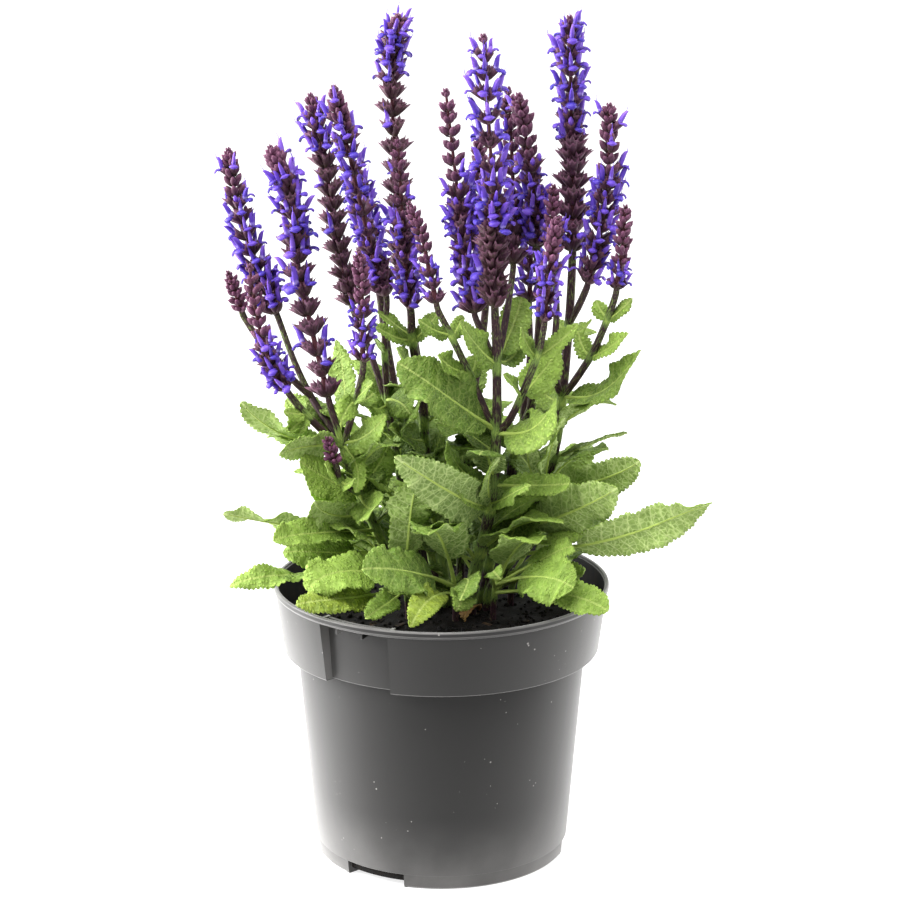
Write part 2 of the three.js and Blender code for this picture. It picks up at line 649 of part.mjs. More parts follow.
// A leafy stem: its square axis and arms with every leaf fused to them.
function leafyStem(stem, phases) {
  return (grow) => {
    const curves = curvesOf(stem);
    const [low, high] = stem.girth;
    const tubes = curves.map((curve, i) => {
      const thick = i === 0 ? low : high - 0.6;
      const thin = i === 0 && !stem.tip ? high : RACHIS;
      const steps = curve.points.length + 1;
      return squareTube(curve, steps, (t) => thick + (thin - thick) * t + 2 * grow);
    });
    const leaves = [...stem.leaves, ...stem.spread.map((entry) => spreadLeaf(entry, curves))];
    return union([...tubes, ...leaves.map((entry, i) => leaf(entry, curves, grow, phases[i]))]);
  };
}

// A spike: its rachis with whorls of pointed florets, each whorl turned half a floret on
// from the one below, narrowing to the buds at the tip.
function spike({ line, full }) {
  return (grow) => {
    const curve = new THREE.CatmullRomCurve3(line.map(point), false, "catmullrom", 0.5);
    const length = curve.getLength();
    const ring = (at, rise, radius) => {
      const t = Math.min(1, at / length);
      const centre = curve.getPointAt(t).addScaledVector(curve.getTangentAt(t), at - t * length);
      const along = curve.getTangentAt(t);
      const u = new THREE.Vector3(1, 0, 0).addScaledVector(along, -along.x).normalize();
      const v = along.clone().cross(u);
      return Array.from({ length: 2 * FLORETS }, (_, k) => {
        const turn = k * Math.PI / FLORETS;
        const out = u.clone().multiplyScalar(Math.cos(turn)).addScaledVector(v, Math.sin(turn));
        return centre.clone().addScaledVector(along, rise(k)).addScaledVector(out, radius(k));
      });
    };
    const rings = [ring(0, () => 0, () => RACHIS / 2 + grow)];
    const isTip = (k, whorl) => (k + whorl) % 2 === 0;
    let at = 2;
    for (let whorl = 0; at < length - 3; whorl++) {
      const t = at / length;
      const step = WHORL_STEP * (1 - 0.2 * t);
      const reach = FLORET_REACH * full * (1 - 0.5 * t ** 3) + grow;
      const core = CORE * (1 - 0.4 * t) + grow;
      const rise = (k) => (isTip(k, whorl) ? FLORET_RISE : 0);
      rings.push(ring(at, rise, (k) => (isTip(k, whorl) ? reach : core)));
      at += step;
    }
    rings.push(ring(length + 2, () => 0, () => TIP + grow));
    return loft(rings, (k, i) => isTip(k, i - 1));
  };
}

const salvia = new THREE.Group();
salvia.name = "salvia";
const standing = [];

// Adds a piece, cut clear of those already standing.
function stand(name, make, look) {
  const body = standing.reduce((left, other) => left.subtract(other), make(0));
  salvia.add(mesh(name, largest(body).simplify(FINEST), look));
  standing.push(make(ROOM));
}

salvia.add(mesh("pot", pot(), "plastic"));
for (const stem of STEMS) {
  const phases = [...stem.leaves, ...stem.spread].map(() => draw(0, 2 * Math.PI));
  stand(stem.name, leafyStem(stem, phases), "leaf");
}
salvia.add(mesh("compost", compost(standing), "compost"));
for (const entry of SPIKES) {
  stand(entry.name, spike(entry), entry.maroon ? "maroon" : "blue");
}

export default salvia;
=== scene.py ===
# A perennial salvia in its nursery pot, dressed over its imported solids. Metres, +Z up, the
# front toward -Y, the origin at the middle of the pot's flat underside.
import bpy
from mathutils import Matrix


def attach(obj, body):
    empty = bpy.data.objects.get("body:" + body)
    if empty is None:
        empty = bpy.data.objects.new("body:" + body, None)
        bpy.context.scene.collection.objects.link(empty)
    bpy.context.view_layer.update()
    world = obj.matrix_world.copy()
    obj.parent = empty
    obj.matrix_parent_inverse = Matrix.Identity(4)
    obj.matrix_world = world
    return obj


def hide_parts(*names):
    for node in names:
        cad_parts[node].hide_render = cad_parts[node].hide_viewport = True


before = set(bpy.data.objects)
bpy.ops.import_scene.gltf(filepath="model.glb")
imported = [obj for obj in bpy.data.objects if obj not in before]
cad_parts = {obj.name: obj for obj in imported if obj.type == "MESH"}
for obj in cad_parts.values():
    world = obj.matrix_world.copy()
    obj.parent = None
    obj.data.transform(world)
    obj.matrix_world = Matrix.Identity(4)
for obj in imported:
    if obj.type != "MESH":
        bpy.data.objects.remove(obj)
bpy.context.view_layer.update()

import math
import random

import bmesh
import bpy
from mathutils import Matrix, Vector, noise

# ---- The studio -------------------------------------------------------------------------
# A pale floor, lit a little from beneath, that runs out past the view, in a room that is
# white behind and overhead and dimmer in front. Broad soft lamps stand left and right, the
# left one stronger, with two smaller ones in front and overhead.
CAMERA_PLACE = (0, -1.2, 0.505)
CAMERA_TILT = math.radians(74.73)
CAMERA_PAN = -0.0031
CAMERA_LENS = 117.5
CAMERA_SENSOR = 36
ROOM_BRIGHT = 1.25
ROOM_DIM = 0.18
BRIGHT_TOWARD = (-0.3, 0.75, 0.6)
WHITE = (1, 1, 1, 1)
FLOOR_WHITE = (0.35, 0.35, 0.35, 1)
FLOOR_GLOW = 0.75
FLOOR_HALF = 8

# Each lamp: where it stands, the spot it is aimed at, its breadth and its watts.
LAMPS = {
    "lamp_left": ((-1.3, 0.15, 0.45), (0, 0, 0.12), 1.2, 74),
    "lamp_front": ((-0.7, -1.0, 1.4), (0, 0, 0.18), 0.7, 12),
    "lamp_right": ((1.35, 0.3, 0.5), (0, 0, 0.15), 1.0, 18),
    "lamp_top": ((-0.1, -0.3, 1.7), (0, 0, 0.15), 0.9, 30),
}

scene = bpy.context.scene
scene.view_settings.view_transform = "Standard"

camera = bpy.data.objects.new("camera", bpy.data.cameras.new("camera"))
camera.location = CAMERA_PLACE
camera.rotation_euler = (CAMERA_TILT, 0, CAMERA_PAN)
camera.data.lens = CAMERA_LENS
camera.data.sensor_width = CAMERA_SENSOR
scene.collection.objects.link(camera)
scene.camera = camera

for name, (place, aim, size, watts) in LAMPS.items():
    lamp = bpy.data.lights.new(name, "AREA")
    lamp.size = size
    lamp.energy = watts
    holder = bpy.data.objects.new(name, lamp)
    holder.location = place
    holder.rotation_euler = (Vector(aim) - Vector(place)).to_track_quat("-Z", "Y").to_euler()
    scene.collection.objects.link(holder)


def place_node(tree, kind, wires=None, **settings):
    """Adds a shader node; each wire is a plain value or another node's socket."""
    added = tree.nodes.new("ShaderNode" + kind)
    for name, value in settings.items():
        setattr(added, name, value)
    for socket, value in (wires or {}).items():
        if isinstance(value, bpy.types.NodeSocket):
            tree.links.new(value, added.inputs[socket])
        else:
            added.inputs[socket].default_value = value
    return added


def carry_over(tree, value, low, high, to_low=0, to_high=1, **settings):
    """A number carried over from one range to another, and held at its ends."""
    wires = {"Value": value, "From Min": low, "From Max": high, "To Min": to_low,
             "To Max": to_high}
    return place_node(tree, "MapRange", wires, **settings).outputs[0]


def finish_named(name, constants):
    """A new material with the plain values of its shader: itself, its tree and its shader."""
    material = bpy.data.materials.new(name)
    material.use_nodes = True
    shader = material.node_tree.nodes["Principled BSDF"]
    for socket, value in constants.items():
        shader.inputs[socket].default_value = value
    return material, material.node_tree, shader


scene.world = bpy.data.worlds.new("white_room")
scene.world.use_nodes = True
tree = scene.world.node_tree
outward = place_node(tree, "TexCoord").outputs["Generated"]
facing = place_node(tree, "VectorMath", {0: outward, 1: BRIGHT_TOWARD}, operation="DOT_PRODUCT")
glow = carry_over(tree, facing.outputs["Value"], -0.55, 0.35, ROOM_DIM, ROOM_BRIGHT)
tree.links.new(glow, tree.nodes["Background"].inputs["Strength"])
tree.nodes["Background"].inputs["Color"].default_value = WHITE

floor_white = finish_named("floor_white", {
    "Base Color": FLOOR_WHITE, "Roughness": 0.55, "Emission Color": WHITE,
    "Emission Strength": FLOOR_GLOW})[0]
sheet = bmesh.new()
bmesh.ops.create_grid(sheet, x_segments=1, y_segments=1, size=FLOOR_HALF)
floor = bpy.data.objects.new("floor", bpy.data.meshes.new("floor"))
sheet.to_mesh(floor.data)
sheet.free()
floor.data.materials.append(floor_white)
scene.collection.objects.link(floor)

# ---- The pot ----------------------------------------------------------------------------
# A thin moulded pot of recycled black polypropylene: a tapering body, a collar that steps
# out, a rolled rim, a recessed label pocket, and a foot with three notches that drain it.
POT_HEIGHT = 120
FOOT_RADIUS = 54.1
BODY_TOP_RADIUS = 62
WALL = 1.5
COLLAR_BOTTOM = 91
RIM_FROM = 118.8
POCKET_FROM = -45
POCKET_TO = -18
POCKET_RIBS = (-37.5, -27.5)
NOTCH_ANGLES = (-32, 88, 208)
NOTCH_HALF = 15
NOTCH_HEIGHT = 6
NOTCH_INNER = 36.1
CHANNEL_HALF = 9.3
DRAIN_AT = 44.1
DRAIN_RADIUS = 4
FLOOR_THICK = 2
TURN_STEP = 2.5
PLASTIC = (0.0055, 0.0053, 0.0051, 1)
PLASTIC_WORN = (0.010, 0.0095, 0.009, 1)
PLASTIC_FOOT_REFLECTION = (0.17, 0.165, 0.16, 1)
PLASTIC_EDGE_HIGHLIGHT = (0.16, 0.155, 0.15, 1)
PEAT_SPLASH = (0.012, 0.009, 0.007, 1)
DUST = (0.20, 0.19, 0.18, 1)
SHARP = math.radians(34)

# Pieces are worked in millimetres and stand in metres.
MM = 0.001


def moulded(outline, start=0, end=360, soft=0.35):
    """A wall turned about the pot's axis from a closed outline of radius and height pairs,
    between two angles from the front, with its edges eased by `soft` millimetres. The short
    steps of an eased edge are marked for a painted highlight."""
    wall = bmesh.new()
    edge_highlight = wall.verts.layers.float.new("edge_highlight")
    corners = [wall.verts.new((0, -radius, height)) for radius, height in outline]
    wall.faces.new(corners)
    bmesh.ops.bevel(wall, geom=corners, offset=soft, offset_type="OFFSET", segments=3,
                    profile=0.5, affect="VERTICES", material=-1)
    for corner in wall.verts:
        corner[edge_highlight] = all(edge.calc_length() < 0.9 * soft for edge in corner.link_edges)
    turn = Matrix.Rotation(math.radians(start), 3, "Z")
    bmesh.ops.rotate(wall, verts=wall.verts, cent=(0, 0, 0), matrix=turn)
    whole = end - start == 360
    if whole:
        bmesh.ops.delete(wall, geom=wall.faces[:], context="FACES_ONLY")
    bmesh.ops.spin(wall, geom=wall.verts[:] + wall.edges[:] + wall.faces[:], cent=(0, 0, 0),
                   axis=(0, 0, 1), angle=math.radians(end - start),
                   steps=max(1, round((end - start) / TURN_STEP)), use_merge=whole)
    bmesh.ops.recalc_face_normals(wall, faces=wall.faces)
    return wall


def gather(whole, part):
    """Moves one worked part into the piece it belongs to."""
    passing = bpy.data.meshes.new("passing")
    part.to_mesh(passing)
    part.free()
    whole.from_mesh(passing)
    bpy.data.meshes.remove(passing)


def stand_piece(name, work, materials, nodes, smooth_to=SHARP):
    """Makes the worked shape a piece in metres that stands for its solids."""
    for face in work.faces:
        face.smooth = True
    for edge in work.edges:
        edge.smooth = edge.calc_face_angle(0) < smooth_to
    bmesh.ops.scale(work, vec=(MM, MM, MM), verts=work.verts)
    piece = bpy.data.objects.new(name, bpy.data.meshes.new(name))
    work.to_mesh(piece.data)
    work.free()
    for material in materials:
        piece.data.materials.append(material)
    scene.collection.objects.link(piece)
    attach(piece, "root")
    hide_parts(*nodes)
    return piece


def reckon(tree, operation, *terms, **settings):
    """A number worked out from one, two or three others."""
    return place_node(tree, "Math", dict(enumerate(terms)), operation=operation,
                      **settings).outputs[0]


def blend(tree, share, under, over):
    """A colour that goes from one to another by a share."""
    return place_node(tree, "Mix", {0: share, 6: under, 7: over}, data_type="RGBA").outputs[2]


def soft_noise(tree, where, scale, detail, roughness=0.5):
    """Cloudy noise at a place, from 0 to 1."""
    wires = {"Vector": where, "Scale": scale, "Detail": detail, "Roughness": roughness}
    return place_node(tree, "TexNoise", wires).outputs["Fac"]


def give_relief(tree, shader, strength, depth, height):
    """Roughens a finish with fine bumps, `depth` metres deep."""
    bump = place_node(tree, "Bump", {"Strength": strength, "Distance": depth, "Height": height})
    tree.links.new(bump.outputs[0], shader.inputs["Normal"])


body_foot = FOOT_RADIUS + (BODY_TOP_RADIUS - FOOT_RADIUS) * NOTCH_HEIGHT / COLLAR_BOTTOM
pot = moulded([(body_foot, NOTCH_HEIGHT), (BODY_TOP_RADIUS, 92), (BODY_TOP_RADIUS - WALL, 92),
               (body_foot - WALL, NOTCH_HEIGHT)], soft=0.3)

# The collar runs round to both ends of the pocket; the rim above it is whole.
gather(pot, moulded([(60.9, COLLAR_BOTTOM), (67.6, COLLAR_BOTTOM), (71.2, 117.6), (71, 119),
                     (69.8, 119), (66, COLLAR_BOTTOM + 2), (60.9, COLLAR_BOTTOM + WALL)],
                    POCKET_TO, 360 + POCKET_FROM, 0.5))
gather(pot, moulded([(70.3, 116.8), (71.1, 116.8), (71.85, 117.9), (71.85, 119.5),
                     (71.4, POT_HEIGHT), (70.3, POT_HEIGHT), (70.1, 118.6)], soft=0.25))

# The pocket: its sunk panel, the two walls at its ends and two small ribs across its mouth.
gather(pot, moulded([(60.9, 91.6), (64.2, 91.6), (66.4, RIM_FROM), (65.1, RIM_FROM), (63, 93),
                     (60.9, 93)], POCKET_FROM - 0.8, POCKET_TO + 0.8, 0.4))
for start, end in ((POCKET_FROM - 1.2, POCKET_FROM + 0.1), (POCKET_TO - 0.1, POCKET_TO + 1.2)):
    gather(pot, moulded([(61.4, 91.3), (67.5, 91.2), (71, 117.2), (70.4, 119), (64.6, 119)],
                        start, end, 0.3))
for angle in POCKET_RIBS:
    gather(pot, moulded([(65.8, 114.4), (70.9, 114.4), (71, 118.4), (65.8, 118.4)],
                        angle - 0.4, angle + 0.4, 0.1))

# The foot: three stretches of wall and floor, and between them the channels, each with an
# inner wall, two side walls and a roof that its drain hole goes through.
for middle in NOTCH_ANGLES:
    low, high = middle + NOTCH_HALF, middle + 120 - NOTCH_HALF
    gather(pot, moulded([(52.4, 0), (53.3, 0), (FOOT_RADIUS, 0.8), (body_foot, NOTCH_HEIGHT + 0.5),
                         (52.9, NOTCH_HEIGHT + 0.5)], low, high, 0.2))
    gather(pot, moulded([(34.9, 0), (53, 0), (53, FLOOR_THICK), (34.9, FLOOR_THICK)],
                        low, high, 0.1))
    gather(pot, moulded([(NOTCH_INNER - WALL, 0.4), (NOTCH_INNER, 0.4), (NOTCH_INNER, 7.4),
                         (NOTCH_INNER - WALL, 7.4)], middle - NOTCH_HALF, middle + NOTCH_HALF, 0.1))
    for side in (-NOTCH_HALF - 1.5, NOTCH_HALF):
        gather(pot, moulded([(NOTCH_INNER - WALL, 0.1), (53.8, 0.1), (54.3, 7.4),
                             (NOTCH_INNER - WALL, 7.4)], middle + side, middle + side + 1.5, 0.1))
    roof = bmesh.new()
    bmesh.ops.create_circle(roof, segments=32, radius=1)
    for corner in roof.verts:
        reach = max(abs(corner.co.x), abs(corner.co.y))
        radius = DRAIN_AT + CHANNEL_HALF * corner.co.x / reach
        turn = math.radians(middle + (NOTCH_HALF + 0.5) * corner.co.y / reach)
        corner.co = (radius * math.sin(turn), -radius * math.cos(turn), NOTCH_HEIGHT)
    turn = math.radians(middle)
    at = Vector((DRAIN_AT * math.sin(turn), -DRAIN_AT * math.cos(turn), NOTCH_HEIGHT))
    aim = Matrix.Translation(at) @ Matrix.Rotation(turn - math.pi / 2, 4, "Z")
    bmesh.ops.create_circle(roof, segments=32, radius=DRAIN_RADIUS, matrix=aim)
    bmesh.ops.bridge_loops(roof, edges=roof.edges[:])
    raised = bmesh.ops.extrude_face_region(roof, geom=roof.faces[:])["geom"]
    raised = [corner for corner in raised if isinstance(corner, bmesh.types.BMVert)]
    bmesh.ops.translate(roof, verts=raised, vec=(0, 0, WALL))
    bmesh.ops.recalc_face_normals(roof, faces=roof.faces)
    gather(pot, roof)
floor_plate = bmesh.new()
bmesh.ops.create_cone(floor_plate, cap_ends=True, segments=96, radius1=NOTCH_INNER - 0.4,
                      radius2=NOTCH_INNER - 0.4, depth=FLOOR_THICK,
                      matrix=Matrix.Translation((0, 0, FLOOR_THICK / 2)))
gather(pot, floor_plate)

# Recycled plastic: charcoal with a faint cloudiness and a fine moulded grain that scatters its
# shine, with a painted highlight along its edges and a painted reflection of the floor toward
# the foot, peppered with specks.
pot_plastic, tree, shader = finish_named("pot_plastic", {
    "Specular IOR Level": 0.18, "Sheen Weight": 0.4, "Sheen Roughness": 0.5,
    "Sheen Tint": (1, 0.98, 0.96, 1)})
where = place_node(tree, "TexCoord").outputs["Object"]
height = place_node(tree, "SeparateXYZ", {"Vector": where}).outputs["Z"]
cloud = soft_noise(tree, where, 38, 4)
rub = reckon(tree, "MULTIPLY", cloud, carry_over(tree, height, 0.086, 0.124))
tone = blend(tree, rub, PLASTIC, PLASTIC_WORN)
# Lighter toward the foot: a painted reflection of the pale floor.
low = reckon(tree, "POWER", carry_over(tree, height, 0.034, 0.002), 1.6)
tone = blend(tree, reckon(tree, "MULTIPLY", cloud, low), tone, PLASTIC_FOOT_REFLECTION)
# Eased edges are lightened: a painted highlight.
edge = place_node(tree, "Attribute", attribute_name="edge_highlight").outputs["Fac"]
tone = blend(tree, reckon(tree, "MULTIPLY", edge, cloud), tone, PLASTIC_EDGE_HIGHLIGHT)
speck = place_node(tree, "TexVoronoi", {"Vector": where, "Scale": 380, "Randomness": 1})
speck_size = reckon(tree, "SUBTRACT", soft_noise(tree, where, 90, 1), 0.57)
speck_size = reckon(tree, "MULTIPLY", speck_size, 0.9)
dust = reckon(tree, "LESS_THAN", speck.outputs["Distance"], speck_size)
tree.links.new(blend(tree, dust, tone, DUST), shader.inputs["Base Color"])
drawn = place_node(tree, "Mapping", {"Vector": where, "Scale": (260, 260, 14)}).outputs[0]
shine = carry_over(tree, soft_noise(tree, drawn, 1, 2), 0, 1, 0.28, 0.34)
tree.links.new(shine, shader.inputs["Roughness"])
grain = soft_noise(tree, where, 2400, 2)
give_relief(tree, shader, 0.12, 0.0002, reckon(tree, "ADD", grain, dust))

# Inside, above the compost, the wall is a darker copy of the plastic without its sheen: painted
# shade, splashed with peat.
pot_inside_painted_shade, tree, shader = finish_named("pot_inside_painted_shade", {
    "Specular IOR Level": 0.1, "Roughness": 0.6})
where = place_node(tree, "TexCoord").outputs["Object"]
splash = carry_over(tree, soft_noise(tree, where, 170, 5), 0.45, 0.6)
tree.links.new(blend(tree, splash, PLASTIC, PEAT_SPLASH), shader.inputs["Base Color"])
pot.normal_update()
# The inner wall above the compost takes this painted shade.
for face in pot.faces:
    middle = face.calc_center_median()
    if COLLAR_BOTTOM + 2 < middle.z < RIM_FROM and face.normal.xy.dot(middle.xy) < 0:
        face.material_index = 1

stand_piece("nursery_pot", pot, [pot_plastic, pot_inside_painted_shade], ["pot"])

# ---- The compost ------------------------------------------------------------------------
# Dark peaty compost, set darker still as painted shade under the plant, pressed down by
# watering, a little higher round the stems, with crumbs lying loose on it and a few chips of
# bark. One body, with the loose bits bedded in it.
COMPOST_TOP = 104.3
COMPOST_RADIUS = 67
COMPOST_BELOW = ((65.4, 93), (60.2, 91), (52.2, 2.4), (0, 2.4))
COMPOST_MOUND = 2.2
COMPOST_ROUGH = 1.5
BEHIND_PANEL = 0.94
CRUMBS = 900
BARK_CHIPS = 70
STREW_RADIUS = 61.5
CRUMBS_ROUND = math.radians(50)
# Both peat tones are set far darker than peat itself: painted shade for the plant's shadow.
PEAT_DARK_SHADED = (0.0015, 0.0012, 0.0010, 1)
PEAT_LIGHT_SHADED = (0.009, 0.006, 0.004, 1)
BARK_BROWN = (0.075, 0.045, 0.024, 1)


def compost_height(x, y):
    """How high the compost lies at one spot of its surface."""
    out = min(1, math.hypot(x, y) / COMPOST_RADIUS)
    lumps = noise.noise((x / 9, y / 9, 3)) + 0.6 * noise.noise((x / 3.4, y / 3.4, 8))
    return COMPOST_TOP + COMPOST_MOUND * (1 - out ** 2) + COMPOST_ROUGH * lumps * (1 - out ** 6)


compost = bmesh.new()
spots = [(0, COMPOST_TOP)] + [(radius, COMPOST_TOP) for radius in range(3, COMPOST_RADIUS, 3)]
spots += [(COMPOST_RADIUS, COMPOST_TOP), *COMPOST_BELOW]
rows = [compost.verts.new((0, -radius, height)) for radius, height in spots]
for lower, upper in zip(rows, rows[1:]):
    compost.edges.new((lower, upper))
bmesh.ops.spin(compost, geom=compost.verts[:] + compost.edges[:], cent=(0, 0, 0), axis=(0, 0, 1),
               angle=math.tau, steps=120, use_merge=True)
bmesh.ops.remove_doubles(compost, verts=compost.verts, dist=0.01)
bmesh.ops.recalc_face_normals(compost, faces=compost.faces)

# It gives way behind the pocket's panel, and its top is uneven.
for corner in compost.verts:
    turn = math.degrees(math.atan2(corner.co.x, -corner.co.y))
    if corner.co.z > 90 and POCKET_FROM - 3 < turn < POCKET_TO + 3 and corner.co.xy.length > 61:
        corner.co.xy *= BEHIND_PANEL
    if corner.co.z > 100:
        corner.co.z = compost_height(corner.co.x, corner.co.y)

# Crumbs and chips: one rough lump of each, laid down many times over, turned and sized.
chance = random.Random(7)
crumb = bmesh.new()
bmesh.ops.create_icosphere(crumb, subdivisions=1, radius=1)
for corner in crumb.verts:
    corner.co *= 0.8 + 0.35 * noise.noise(corner.co * 3)
chip = bmesh.new()
bmesh.ops.create_cube(chip, size=2)
bmesh.ops.bevel(chip, geom=chip.edges[:], offset=0.3, offset_type="OFFSET", segments=1,
                profile=0.5, affect="EDGES", material=-1)
for corner in chip.verts:
    corner.co *= 0.85 + 0.3 * noise.noise(corner.co * 1.7)


def kept(part, name):
    """Keeps a worked shape, its faces outward, to be used again."""
    bmesh.ops.recalc_face_normals(part, faces=part.faces)
    shape = bpy.data.meshes.new(name)
    part.to_mesh(shape)
    part.free()
    return shape


def strew(bed, lump, size):
    """Lays one lump on the compost, sunk by about a third of its height."""
    out = STREW_RADIUS * math.sqrt(chance.random())
    turn = chance.uniform(0, math.tau)
    x, y = out * math.cos(turn), out * math.sin(turn)
    lie = Matrix.Rotation(chance.uniform(0, math.tau), 4, "Z")
    lean = Matrix.Rotation(chance.uniform(-0.4, 0.4), 4, "X")
    spot = Matrix.Translation((x, y, compost_height(x, y) + 0.3 * size[2]))
    copy = lump.copy()
    copy.transform(spot @ lie @ lean @ Matrix.Diagonal((*size, 1)))
    bed.from_mesh(copy)
    bpy.data.meshes.remove(copy)


crumb_shape, chip_shape = kept(crumb, "crumb"), kept(chip, "chip")
crumbs = bmesh.new()
for _ in range(CRUMBS):
    width = chance.uniform(0.5, 1.7)
    strew(crumbs, crumb_shape, (width, width * chance.uniform(0.6, 1), width * 0.7))
chips = bmesh.new()
for _ in range(BARK_CHIPS):
    strew(chips, chip_shape, (chance.uniform(1.5, 4), chance.uniform(0.8, 1.6), 0.5))


def compost_finish(name, dark, light, feature):
    """Peat or bark: mottled from dark to light, dull, with a broken surface."""
    material, tree, shader = finish_named(name, {"Specular IOR Level": 0.2})
    where = place_node(tree, "TexCoord").outputs["Object"]
    mottle = soft_noise(tree, where, feature, 6)
    tone = blend(tree, carry_over(tree, mottle, 0.42, 0.72), dark, light)
    tree.links.new(tone, shader.inputs["Base Color"])
    tree.links.new(carry_over(tree, mottle, 0, 1, 0.6, 1.0), shader.inputs["Roughness"])
    give_relief(tree, shader, 0.8, 0.0006, soft_noise(tree, where, 1400, 5))
    return material


peat = compost_finish("peat", PEAT_DARK_SHADED, PEAT_LIGHT_SHADED, 420)
bark = compost_finish("bark", PEAT_LIGHT_SHADED, BARK_BROWN, 300)
stand_piece("compost_bed", compost, [peat], ["compost"])
stand_piece("compost_crumbs", crumbs, [peat], ["compost"], CRUMBS_ROUND)
stand_piece("bark_chips", chips, [bark], ["compost"], CRUMBS_ROUND)

# ---- The stems --------------------------------------------------------------------------
# Eight leafy stems and six short shoots: soft square stems, nearly black purple with green
# streaks, greener where the leaves sit in pairs. Branches part there and carry the spikes.
STEM_FOOT = 94
FOOT_FLARE = 1.08
STEM_TIP = 3.1
BRANCH_FOOT = 2.9
BRANCH_TIP = 2.5
BRANCH_NECK = 0.6
NECK_LENGTH = 6
JOINT_SWELL = 0.14
JOINT_SPREAD = 6
STEM_STEP = 3.2
STEM_DARK = (0.015, 0.010, 0.011, 1)
STEM_PURPLE = (0.052, 0.020, 0.028, 1)
STEM_GREEN = (0.13, 0.20, 0.045, 1)
STALK_GREEN = (0.32, 0.42, 0.09, 1)
SPIKE_WINE = (0.085, 0.022, 0.028, 1)

# Each spike: its line from the lowest whorl to the tip, how full it is, and its ages from
# the foot up, as the share reached, the state of the calyces and how many florets are open.
SPIKES = [
    ("spike_01", [[-70, 12, 235], [-77, 14, 252], [-85, 18, 277], [-89, 20, 302]], 1,
     [(0.62, "open", 0.8), (0.74, "open", 0.45), (1, "bud", 0.05)]),
    ("spike_02", [[-83, -4, 239], [-88, -8, 256]], 0.72,
     [(1, "young", 0)]),
    ("spike_03", [[-64, -26, 211], [-70, -27, 222], [-75, -27, 240], [-78, -26, 262]], 0.9,
     [(0.5, "open", 0.8), (1, "young", 0.03)]),
    ("spike_04", [[-47, -14, 204], [-58, -8, 252], [-62, -6, 288], [-70, -4, 307]], 1,
     [(0.28, "spent", 0.12), (0.5, "spent", 0.45), (0.8, "open", 0.85), (1, "bud", 0.08)]),
    ("spike_05", [[-32, -32, 224], [-32, -36, 250], [-33, -38, 270]], 0.75,
     [(0.45, "open", 0.75), (1, "young", 0.05)]),
    ("spike_06", [[-44, -31, 181], [-47, -34, 192]], 0.6,
     [(1, "young", 0)]),
    ("spike_07", [[-38, 26, 235], [-44, 29, 263], [-49, 32, 294], [-55, 34, 323]], 0.95,
     [(0.72, "faded", 0.03), (0.93, "open", 0.75), (1, "bud", 0)]),
    ("spike_08", [[-24, 16, 242], [-29, 15, 260], [-38, 11, 301], [-44, 8, 330]], 1,
     [(0.2, "spent", 0.1), (0.76, "open", 0.72), (1, "bud", 0.08)]),
    ("spike_09", [[-14, 34, 235], [-18, 38, 278], [-21, 42, 330], [-18, 42, 355]], 1,
     [(0.66, "faded", 0.04), (0.9, "open", 0.85), (1, "bud", 0.1)]),
    ("spike_10", [[-13, 7, 238], [-15, 5, 258], [-16, 5, 277], [-18, 5, 308]], 0.9,
     [(0.62, "open", 0.75), (1, "bud", 0.05)]),
    ("spike_11", [[-2, -24, 247], [-5, -22, 260], [-8, -19, 274], [-13, -16, 286]], 0.75,
     [(0.4, "open", 0.3), (1, "bud", 0)]),
    ("spike_12", [[14, -10, 240], [10, -5, 264], [7, -3, 287], [2, -2, 330]], 1,
     [(0.74, "open", 0.8), (1, "bud", 0.05)]),
    ("spike_13", [[22, -20, 245], [21, -21, 268], [21, -22, 292], [17, -24, 355]], 1.05,
     [(0.5, "faded", 0.05), (1, "open", 0.85)]),
    ("spike_14", [[30, 6, 257], [30, 14, 291], [28, 18, 328]], 0.9,
     [(0.3, "spent", 0.3), (1, "bud", 0.06)]),
    ("spike_15", [[42, -36, 242], [44, -38, 266], [47, -38, 284]], 0.85,
     [(0.5, "open", 0.7), (1, "young", 0.04)]),
    ("spike_16", [[40, 10, 264], [39, 6, 281], [36, 2, 304], [32, 0, 328]], 1,
     [(0.66, "open", 0.72), (1, "bud", 0.04)]),
    ("spike_17", [[38, 36, 234], [39, 42, 268], [39, 46, 298]], 0.9,
     [(0.6, "open", 0.75), (1, "bud", 0)]),
    ("spike_18", [[46, -12, 268], [46, -14, 293]], 0.72,
     [(0.3, "open", 0.4), (1, "young", 0.05)]),
    ("spike_19", [[55, 8, 262], [55, 10, 295], [54, 12, 318], [53, 12, 358]], 1.05,
     [(0.5, "spent", 0.06), (0.62, "open", 0.3), (1, "open", 0.8)]),
    ("spike_20", [[61, -4, 251], [66, -4, 273], [69, -3, 297], [69, -2, 324]], 1,
     [(0.6, "open", 0.66), (1, "bud", 0.05)]),
    ("spike_21", [[72, -20, 252], [74, -22, 269], [75, -22, 286]], 0.72,
     [(0.34, "open", 0.6), (1, "young", 0)]),
    ("spike_22", [[19, 42, 233], [18, 48, 267], [16, 52, 301]], 0.95,
     [(0.3, "spent", 0.1), (0.78, "open", 0.9), (1, "bud", 0)]),
    ("spike_23", [[-27, 42, 238], [-33, 46, 268], [-38, 48, 291]], 0.95,
     [(0.3, "spent", 0.1), (0.78, "open", 0.9), (1, "bud", 0)]),
]

